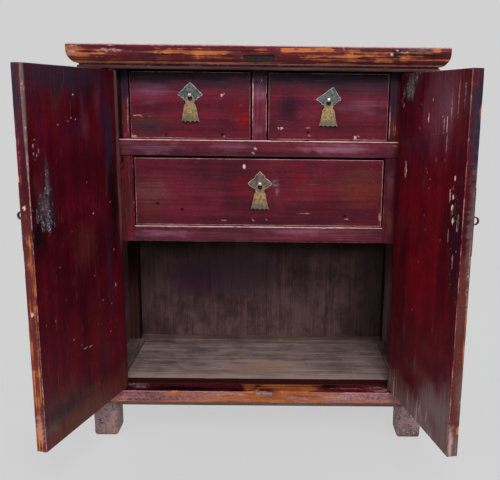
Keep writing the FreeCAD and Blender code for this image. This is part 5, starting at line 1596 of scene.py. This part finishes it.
def make_doors():
    tables = ((LEFT_DOOR_MARKS, LEFT_EDGE_MARKS), (RIGHT_DOOR_MARKS, RIGHT_EDGE_MARKS))
    for (name, side), (inner_marks, edge_marks) in zip(SIDES, tables):
        body = f"{name}_door"
        degrees, pivot = door_frame(name, side)
        x = mirrored(-side, -DOOR_HALF, DOOR_REACH)
        free, hinge = 1.8, 9.8
        radii = [hinge, free, free, hinge] if side < 0 else [free, hinge, hinge, free]
        slab = board("z", x, (-DOOR_HALF, DOOR_HALF), (DOOR_LOW, DOOR_HIGH), radii, wear=0.8,
                     sides=[9, 3.4, 2.6, 3.4], step=2.6, ends=(1.2, 1.2), seed=150 + side, sag=0.25)
        pins = [
            pivot_pin(DOOR_LOW - PIVOT_LENGTH, DOOR_LOW + 1),
            pivot_pin(DOOR_HIGH - 1, DOOR_HIGH + PIVOT_LENGTH),
        ]
        parts = [turned(part, degrees, pivot) for part in [slab] + pins]
        inner = spun((0, 1.0, 0), math.radians(degrees))
        outward = spun((-side, 0, 0), math.radians(degrees))
        inner_point = np.array(pivot) + inner * DOOR_HALF
        edge_point = np.array(pivot) + outward * DOOR_REACH
        painters = [
            toned(edge=0.45), worn_foot(side), hinge_strip(pivot, side),
            seen_marks(inner_point, inner, inner_marks, (1.6, 0.95)),
            seen_marks(edge_point, outward, edge_marks, (0.9, 0.9)),
            free_edge(edge_point + inner * DOOR_HALF, side, outward),
        ]
        piece(f"{body}_worn", body, parts, [DOOR_LACQUER], (body,), painters=painters,
              seed=150 + side)


# ---- metalwork

def outline_distance(points, loops):
    """Distance of each point from the nearest outline."""
    best = np.full(len(points), 1e9)
    for loop in loops:
        for a, b in zip(loop, np.roll(loop, -1, axis=0)):
            d = b - a
            f = np.clip(((points - a) @ d) / max(d @ d, 1e-9), 0, 1)
            best = np.minimum(best, np.linalg.norm(points - (a + f[:, None] * d), axis=1))
    return best


def inside(points, loop):
    """Which points lie inside a closed outline."""
    result = np.zeros(len(points), bool)
    for a, b in zip(loop, np.roll(loop, -1, axis=0)):
        crosses = (a[1] > points[:, 1]) != (b[1] > points[:, 1])
        x = (b[0] - a[0]) * (points[:, 1] - a[1]) / (b[1] - a[1] + 1e-12) + a[0]
        result ^= crosses & (points[:, 0] < x)
    return result


def dense(loop, step):
    """The outline with points no further apart than the step."""
    result = []
    for a, b in zip(loop, np.roll(loop, -1, axis=0)):
        count = max(1, int(math.ceil(np.linalg.norm(b - a) / step)))
        result += [a + (b - a) * i / count for i in range(count)]
    return np.array(result)


def sheet_metal(outline, holes, thickness, relief, step=1.0, rim=0.7):
    """A thin plate in X and Z; its front, towards -Y, follows a relief, and its rim is rubbed."""
    loops = [dense(np.array(loop, float), step) for loop in [outline] + holes]
    low, high = loops[0].min(axis=0), loops[0].max(axis=0)
    grid = np.array([
        (x + (0.5 * step if row % 2 else 0), z)
        for row, z in enumerate(np.arange(low[1], high[1], step * 0.87))
        for x in np.arange(low[0], high[0], step)
    ])
    keep = inside(grid, loops[0]) & (outline_distance(grid, loops) > step * 0.45)
    for hole in loops[1:]:
        keep &= ~inside(grid, hole)
    points = np.concatenate(loops + [grid[keep]])
    edges, start = [], 0
    for loop in loops:
        edges += [(start + i, start + (i + 1) % len(loop)) for i in range(len(loop))]
        start += len(loop)
    found = delaunay_2d_cdt([Vector(p) for p in points], edges, [], 0, 1e-5)
    flat = np.array([v[:] for v in found[0]])
    triangles = np.array([list(face) for face in found[2]])
    middle = flat[triangles].mean(axis=1)
    keep = inside(middle, loops[0])
    for hole in loops[1:]:
        keep &= ~inside(middle, hole)
    triangles = triangles[keep].tolist()
    count = len(flat)
    distance = outline_distance(flat, loops)
    rise = relief(flat, distance)
    front = np.column_stack([flat[:, 0], -thickness / 2 - rise, flat[:, 1]])
    rear = np.column_stack([flat[:, 0], np.full(count, thickness / 2), flat[:, 1]])
    faces = []
    used = {}
    for a, b, c in triangles:
        p, q, r = flat[a], flat[b], flat[c]
        turn = (q[0] - p[0]) * (r[1] - p[1]) - (q[1] - p[1]) * (r[0] - p[0])
        tri = (a, b, c) if turn > 0 else (a, c, b)
        faces.append(list(tri))
        faces.append([count + k for k in reversed(tri)])
        for i in range(3):
            used[(tri[i], tri[(i + 1) % 3])] = True
    for a, b in used:
        if (b, a) not in used:
            faces.append([b, a, count + a, count + b])
    edge = np.exp(-(distance / rim) ** 2)
    return {
        "co": np.concatenate([front, rear]),
        "normal": np.repeat([TOWARDS_FRONT, (0, 1.0, 0)], count, axis=0),
        "edge": np.concatenate([edge, np.full(count, 0.2)]),
        "chip": np.zeros(count * 2),
        "pit": np.concatenate([np.clip(-rise * 3.4, 0, 1), np.zeros(count)]),
        "faces": faces,
    }


def strip(path, width, thick, taper):
    """A flat strip bent along a path in Y and Z, as wide as given across X, with soft arrises."""
    path = np.array(path, float)
    way = np.gradient(path, axis=0)
    way /= np.linalg.norm(way, axis=1)[:, None]
    side = np.stack([-way[:, 1], way[:, 0]], axis=1)
    half, deep, soft = width / 2, thick / 2, min(0.35, thick * 0.3)
    section = [
        (-half + soft, -deep), (half - soft, -deep), (half, -deep + soft), (half, deep - soft),
        (half - soft, deep), (-half + soft, deep), (-half, deep - soft), (-half, -deep + soft),
    ]
    rows = []
    for place, across, r in zip(path, side, np.linspace(-1, 1, len(path))):
        lean = 1 - taper * max(0.0, abs(r) - 0.75) / 0.25
        rows.append([
            (x * lean, place[0] + across[0] * d * lean, place[1] + across[1] * d * lean)
            for x, d in section
        ])
    co = np.array(rows).reshape(-1, 3)
    middle = np.repeat(np.column_stack([np.zeros(len(path)), path]), len(section), axis=0)
    normal = co - middle
    normal /= np.maximum(np.linalg.norm(normal, axis=1), 1e-6)[:, None]
    return closed_part(co, normal, 0.45, len(path))


def eye_path(centre_y, radius, wall, gap, rear, clinch):
    """A split pin seen from the side: one leg in, round the eye, the other leg out and clinched."""
    mid = radius - wall / 2
    start = math.asin(gap / mid)
    turn = np.linspace(start, 2 * math.pi - start, 29)
    eye = [(centre_y + mid * math.cos(a), mid * math.sin(a)) for a in turn]
    back = rear + wall / 2
    leg = [
        (back, clinch), (back, clinch * 0.6), (back, gap + 1.6), (back - 0.4, gap + 0.5),
        (back - 1.5, gap),
    ]
    leg += [(back + (centre_y + mid - back) * f, gap) for f in (0.35, 0.7, 0.9)]
    other = [(y, -z) for y, z in reversed(leg)]
    return leg + eye + other


def metal_piece(name, body, parts, material, slot, place=(0, 0, 0), degrees=0.0):
    """A piece of metal in place of the node that has its name."""
    parts = [turned(part, degrees, place) for part in parts]
    pits, dull = (
        np.concatenate([part.get(key, np.zeros(len(part["co"]))) for part in parts])
        for key in ("pit", "grey")
    )

    def paint(data):
        data["wear"][:, 3] = pits
        data["film"][:, 0] = dull
    worn = f"{name}_worn"
    return piece(worn, body, parts, [material], (name,), slot=slot, painters=[paint],
                 seed=len(worn))


def nail(x, z, y, radius, height, pieces=14):
    """A small domed nail head that stands off a plate towards -Y."""
    steps = ((1, 0.0), (0.96, 0.45), (0.7, 0.85), (0.3, 1))
    ring = circle(pieces)
    co = np.concatenate([
        np.column_stack([x + ring[:, 0] * (radius * wide), np.full(pieces, y - height * high),
                         z + ring[:, 1] * (radius * wide)])
        for wide, high in steps
    ])
    return closed_part(co, np.tile(TOWARDS_FRONT, (len(co), 1)), 0.6, len(steps))


def mirrored_outline(right, foot):
    """A closed outline from its right half, listed from the top down, and a foot on the middle."""
    return right + foot + [(-x, z) for x, z in reversed(right[1:])]


SMALL_PLATE = [
    (0, 24.8), (10.4, 15.1), (11.6, 13.1), (18.8, 6.2), (21.4, 4.6), (24.8, 0.2), (22.6, -3.2),
    (20.6, -1.6), (18.4, -3.8), (17.0, -6.6), (14.6, -5.6),
    (13.6, -9.9), (9.5, -10.6), (5.0, -14.4),
]
WIDE_PLATE = [
    (0, 24.8), (9.9, 15.3), (10.9, 11.2), (14.0, 9.4), (17.3, 7.4), (21.0, 4.2), (24.8, 0),
    (22.4, -3.4), (21.6, -4.0), (18.6, -6.2), (14.1, -9.4), (9.0, -12.2), (4.5, -15.4),
]
PLATE_FOOT = [(0, -17.8)]
PLATE_THICKNESS = 1.1
EYE_Y = FACE_Y - 5.5
SCALLOPS = 4
SCALLOP = 9.2


def border_relief(distance, rim, groove):
    """A raised rim and a groove inside it; each has its height, its place and its width."""
    raised, sunk = (
        height * bell((distance, place, width)) for height, place, width in (rim, groove)
    )
    return raised, sunk, 0.3 * np.exp(-distance / 0.35)


def plate_relief(points, distance):
    """A raised rim, a fine groove inside it, and a low boss round the eye."""
    rim, groove, fall = border_relief(distance, (0.28, 0.9, 0.6), (-0.24, 2.3, 0.5))
    away = np.hypot(points[:, 0], points[:, 1])
    boss = 0.3 * ramp(-away, -7.5, -5.5) - 0.2 * bell((away, 7.8, 0.5))
    return rim + groove * (away > 8) + boss - fall


def lock_relief(_, distance):
    """The rim and the groove of a door's half-round plate."""
    rim, groove, fall = border_relief(distance, (0.2, 1.4, 0.9), (-0.2, 3.4, 0.6))
    return rim + groove - fall


def pendant_outline():
    """Round tab, flaring sides and a scalloped foot, about the eye's centre."""
    right = [
        (10.0 * math.cos(a), -10.3 + 10.2 * math.sin(a))
        for a in np.radians(np.arange(90, -37, -14))
    ]
    right += [
        (12.0, -20.5), (13.4, -30.0), (15.0, -38.0), (16.0, -43.4), (17.6, -48.4), (18.6, -52.2),
    ]
    foot = []
    for number in range(SCALLOPS):
        start = 18.4 - SCALLOP * number
        for f in (0.12, 0.32, 0.5, 0.68, 0.88):
            foot.append((start - SCALLOP * f, -52.9 + 3.0 * math.sin(math.pi * f) ** 0.7))
        if number < SCALLOPS - 1:
            foot.append((start - SCALLOP, -53.0))
    return mirrored_outline(right, foot)


def pendant_relief(points, distance):
    """A rim, flutes that fan out over the foot, and a worn hollow in the middle."""
    x, z = points[:, 0], points[:, 1]
    fan = np.cos(x / (0.42 + 0.0112 * -z) * math.pi / 4.3)
    flutes = 0.2 * fan * ramp(-z, 34, 48) * ramp(distance, 0.4, 2.0)
    line = -0.2 * bell((z, -33, 0.5)) - 0.14 * bell((z, -35.5, 0.4))
    dent = (noise(np.column_stack([x, z, z * 0]), 9, 7, 2) - 0.5) * 0.3
    rim = 0.2 * bell((distance, 0.9, 0.6))
    return rim + flutes + line * ramp(distance, 0.6, 1.6) + dent - 0.3 * np.exp(-distance / 0.35)


def hole_outline():
    """The opening that the eye passes through, below the bridge."""
    half, low = 4.25, -12.0
    angles = np.radians(np.arange(-90, 91, 15))
    arc = [(half * math.sin(a), low + half - half * math.cos(a)) for a in angles]
    return arc + [(half, -2.5), (-half, -2.5)]


def make_pulls():
    for name, (x, z) in PULLS.items():
        body = f"{name}_drawer"
        wide = name == "wide"
        outline = mirrored_outline(WIDE_PLATE if wide else SMALL_PLATE, PLATE_FOOT)
        if name == "right":
            outline = [(px + 0.36 * max(pz, 0.0), pz) for px, pz in outline]
        plate = sheet_metal(outline, [], PLATE_THICKNESS, plate_relief, 0.8, 1.7)
        # Painted shade on the plate behind the pendant's hole.
        shadow = np.hypot(plate["co"][:, 0] / 5.4, (plate["co"][:, 2] + 7.6) / 5.0)
        plate["pit"] = np.maximum(plate["pit"], ramp(-shadow, -1.1, -0.8) * 1.4)
        metal_piece(f"{body}_plate", body, [plate], PLATE_METAL if wide else PALE_PLATE_METAL,
                    "aged_brass", (x, FACE_Y - 0.62, z))
        pin = strip(eye_path(EYE_Y, 4.0, 1.1, 0.56, DRAWER_FRONT_REAR, 12.0), 5.5, 1.08, 0.35)
        metal_piece(f"{body}_pin", body, [pin], PIN_METAL, "aged_brass", (x, 0, z))
        pendant = sheet_metal(pendant_outline(), [hole_outline()], 1.0, pendant_relief, 0.9)
        tab = pendant["co"]
        foot = ramp(-tab[:, 2], 30, 46) * (0.3 + 0.7 * noise(tab, (6, 1, 6), 9, 2))
        pendant["grey"] = np.maximum(ramp(tab[:, 2], -17, -12) * 0.5, foot)
        metal_piece(f"{body}_pendant", f"{body}_pendant", [pendant], PENDANT_METAL, "brass",
                    (x, FACE_Y - 5.4, z))


def make_door_metal():
    """Half-round plates on the doors' outer faces, their nails, and the eyes for the lock."""
    def around(way, radius, degrees):
        """Places on a half circle about the middle of a plate's straight edge."""
        return [
            (280.5 * way - way * radius * math.sin(a), LOCK_Z + radius * math.cos(a))
            for a in np.radians(degrees)
        ]

    for name, side in SIDES:
        body = f"{name}_door"
        degrees, pivot = door_frame(name, side)
        way = -side
        arc = around(way, 55, np.arange(0, 181, 5))
        plate = sheet_metal(arc, [], PLATE_THICKNESS, lock_relief, 2.2)
        plate["co"][:, 1] -= 10.62
        heads = [nail(x, z, -11.1, 2.4, 1.0) for x, z in around(way, 49, (14, 48, 90, 132, 166))]
        metal_piece(f"{body}_plate", body, [plate] + heads, PLATE_METAL, "aged_brass",
                    pivot, degrees)
        eye = strip(eye_path(-18.5, 7.0, 2.0, 1.0, DOOR_HALF, 12.0), 5.0, 1.95, 0.35)
        eye["co"] += np.array([268.0 * way, 0, LOCK_Z])
        metal_piece(f"{body}_pin", body, [eye], DULL_IRON, "aged_brass", pivot, degrees)


def trim_outline(wide, high, seed):
    """A hand-cut strip: a rectangle whose sides wander a little."""
    step = 3.0
    corners = np.array([(-wide, -high), (wide, -high), (wide, high), (-wide, high)], float)
    loop = dense(corners, step)
    along_loop = np.arange(len(loop)) * step
    wander = np.stack([line_noise(along_loop, 9, each) for each in (seed, seed + 3)], axis=1)
    return loop + (wander - 1.0) * 0.7 * np.sign(loop)


def trim_relief(points, distance):
    """Uneven old iron, lower at its border."""
    uneven = noise(np.column_stack([points, points[:, 0] * 0]), 6, 3, 3) - 0.6
    return 0.1 * uneven - 0.25 * np.exp(-distance / 0.4)


def make_trims():
    top = sheet_metal(trim_outline(RECESS_HALF, 6.0, 5), [], 1.0, trim_relief, 1.6)
    heads = [nail(x, 0.0, -0.5, 1.5, 0.5) for x in (-22.0, 23.0)]
    metal_piece("top_edge_plate", "cabinet", [top] + heads, IRON, "iron", (0, -160.0, 778.0))
    sill = sheet_metal(trim_outline(19.0, 3.1, 9), [], 1.0, trim_relief, 1.2)
    metal_piece("sill_plate", "cabinet", [sill], PALE_IRON, "iron", (11.5, -148.85, 99.1))


# ---- room and light

def seen_rays(tree):
    """1 for the rays that show the room: the camera's, reflected ones and those through glass."""
    path = tree.nodes.new("ShaderNodeLightPath")
    total = path.outputs["Is Camera Ray"]
    for name in ("Is Glossy Ray", "Is Transmission Ray"):
        add = tree.nodes.new("ShaderNodeMath")
        add.operation = "ADD"
        add.use_clamp = True
        tree.links.new(total, add.inputs[0])
        tree.links.new(path.outputs[name], add.inputs[1])
        total = add.outputs[0]
    return total


def make_room():
    """A pale floor and backdrop that keep the cabinet's soft shadow, and plain studio light."""
    pale = rgb(209, 209, 209)
    size = 9.0
    mesh = bpy.data.meshes.new("floor")
    corners = [(-size, -size, 0), (size, -size, 0), (size, size, 0), (-size, size, 0)]
    mesh.from_pydata(corners, [], [(0, 1, 2, 3)])
    floor = bpy.data.objects.new("floor", mesh)
    floor.location.z = -0.0005
    bpy.context.scene.collection.objects.link(floor)
    material = bpy.data.materials.new("floor")
    material.use_nodes = True
    tree = material.node_tree
    diffuse = tree.nodes["Principled BSDF"]
    diffuse.inputs["Base Color"].default_value = pale
    diffuse.inputs["Roughness"].default_value = 0.9
    glow = tree.nodes.new("ShaderNodeEmission")
    glow.inputs["Color"].default_value = pale
    mix = tree.nodes.new("ShaderNodeMixShader")
    where = tree.nodes.new("ShaderNodeTexCoord")
    reach = tree.nodes.new("ShaderNodeVectorMath")
    reach.operation = "LENGTH"
    tree.links.new(where.outputs["Object"], reach.inputs[0])
    fade = tree.nodes.new("ShaderNodeMapRange")
    fade.interpolation_type = "SMOOTHSTEP"
    fade.inputs["From Min"].default_value = 0.35
    fade.inputs["From Max"].default_value = 1.5
    fade.inputs["To Min"].default_value = 0.86
    fade.inputs["To Max"].default_value = 1.0
    tree.links.new(reach.outputs["Value"], fade.inputs["Value"])
    share = tree.nodes.new("ShaderNodeMath")
    share.operation = "MULTIPLY"
    tree.links.new(seen_rays(tree), share.inputs[0])
    tree.links.new(fade.outputs["Result"], share.inputs[1])
    tree.links.new(share.outputs[0], mix.inputs[0])
    tree.links.new(diffuse.outputs[0], mix.inputs[1])
    tree.links.new(glow.outputs[0], mix.inputs[2])
    tree.links.new(mix.outputs[0], tree.nodes["Material Output"].inputs["Surface"])
    mesh.materials.append(material)
    world = bpy.data.worlds.new("room")
    bpy.context.scene.world = world
    world.use_nodes = True
    tree = world.node_tree
    light = tree.nodes["Background"]
    light.inputs["Color"].default_value = (0.93, 0.96, 1.0, 1.0)
    light.inputs["Strength"].default_value = 0.55
    shown = tree.nodes.new("ShaderNodeBackground")
    shown.inputs["Color"].default_value = pale
    mix = tree.nodes.new("ShaderNodeMixShader")
    tree.links.new(seen_rays(tree), mix.inputs[0])
    tree.links.new(light.outputs[0], mix.inputs[1])
    tree.links.new(shown.outputs[0], mix.inputs[2])
    tree.links.new(mix.outputs[0], tree.nodes["World Output"].inputs["Surface"])


def make_lamp(name, place, target, size, power, colour=(1.0, 1.0, 1.0)):
    data = bpy.data.lights.new(name, "AREA")
    data.shape = "DISK"
    data.size = size
    data.energy = power
    data.color = colour
    lamp = bpy.data.objects.new(name, data)
    way = Vector(target) - Vector(place)
    lamp.location = place
    lamp.rotation_euler = way.to_track_quat("-Z", "Y").to_euler()
    bpy.context.scene.collection.objects.link(lamp)


def make_lamps():
    make_lamp("key", (0.5, -2.6, 2.5), (0.0, 0.0, 0.4), 1.8, 78)
    make_lamp("fill_left", (-2.6, -1.4, 1.5), (0.0, 0.0, 0.4), 1.6, 22)
    make_lamp("rear", (0.8, 2.8, 2.2), (0.0, 0.0, 0.4), 1.8, 40)


def main():
    make_camera()
    make_posts()
    make_top()
    make_low_frame()
    make_boards()
    make_drawer_face()
    make_drawers()
    make_doors()
    make_pulls()
    make_door_metal()
    make_trims()
    for name in ("upper_left", "upper_right", "upper_centre", "lower_left", "lower_right"):
        dress(f"runner_{name}", INNER_WOOD["y"])
    dress("back_rail_drawer", INNER_WOOD["x"])
    make_room()
    make_lamps()
    bpy.context.scene.view_settings.view_transform = "Standard"


main()
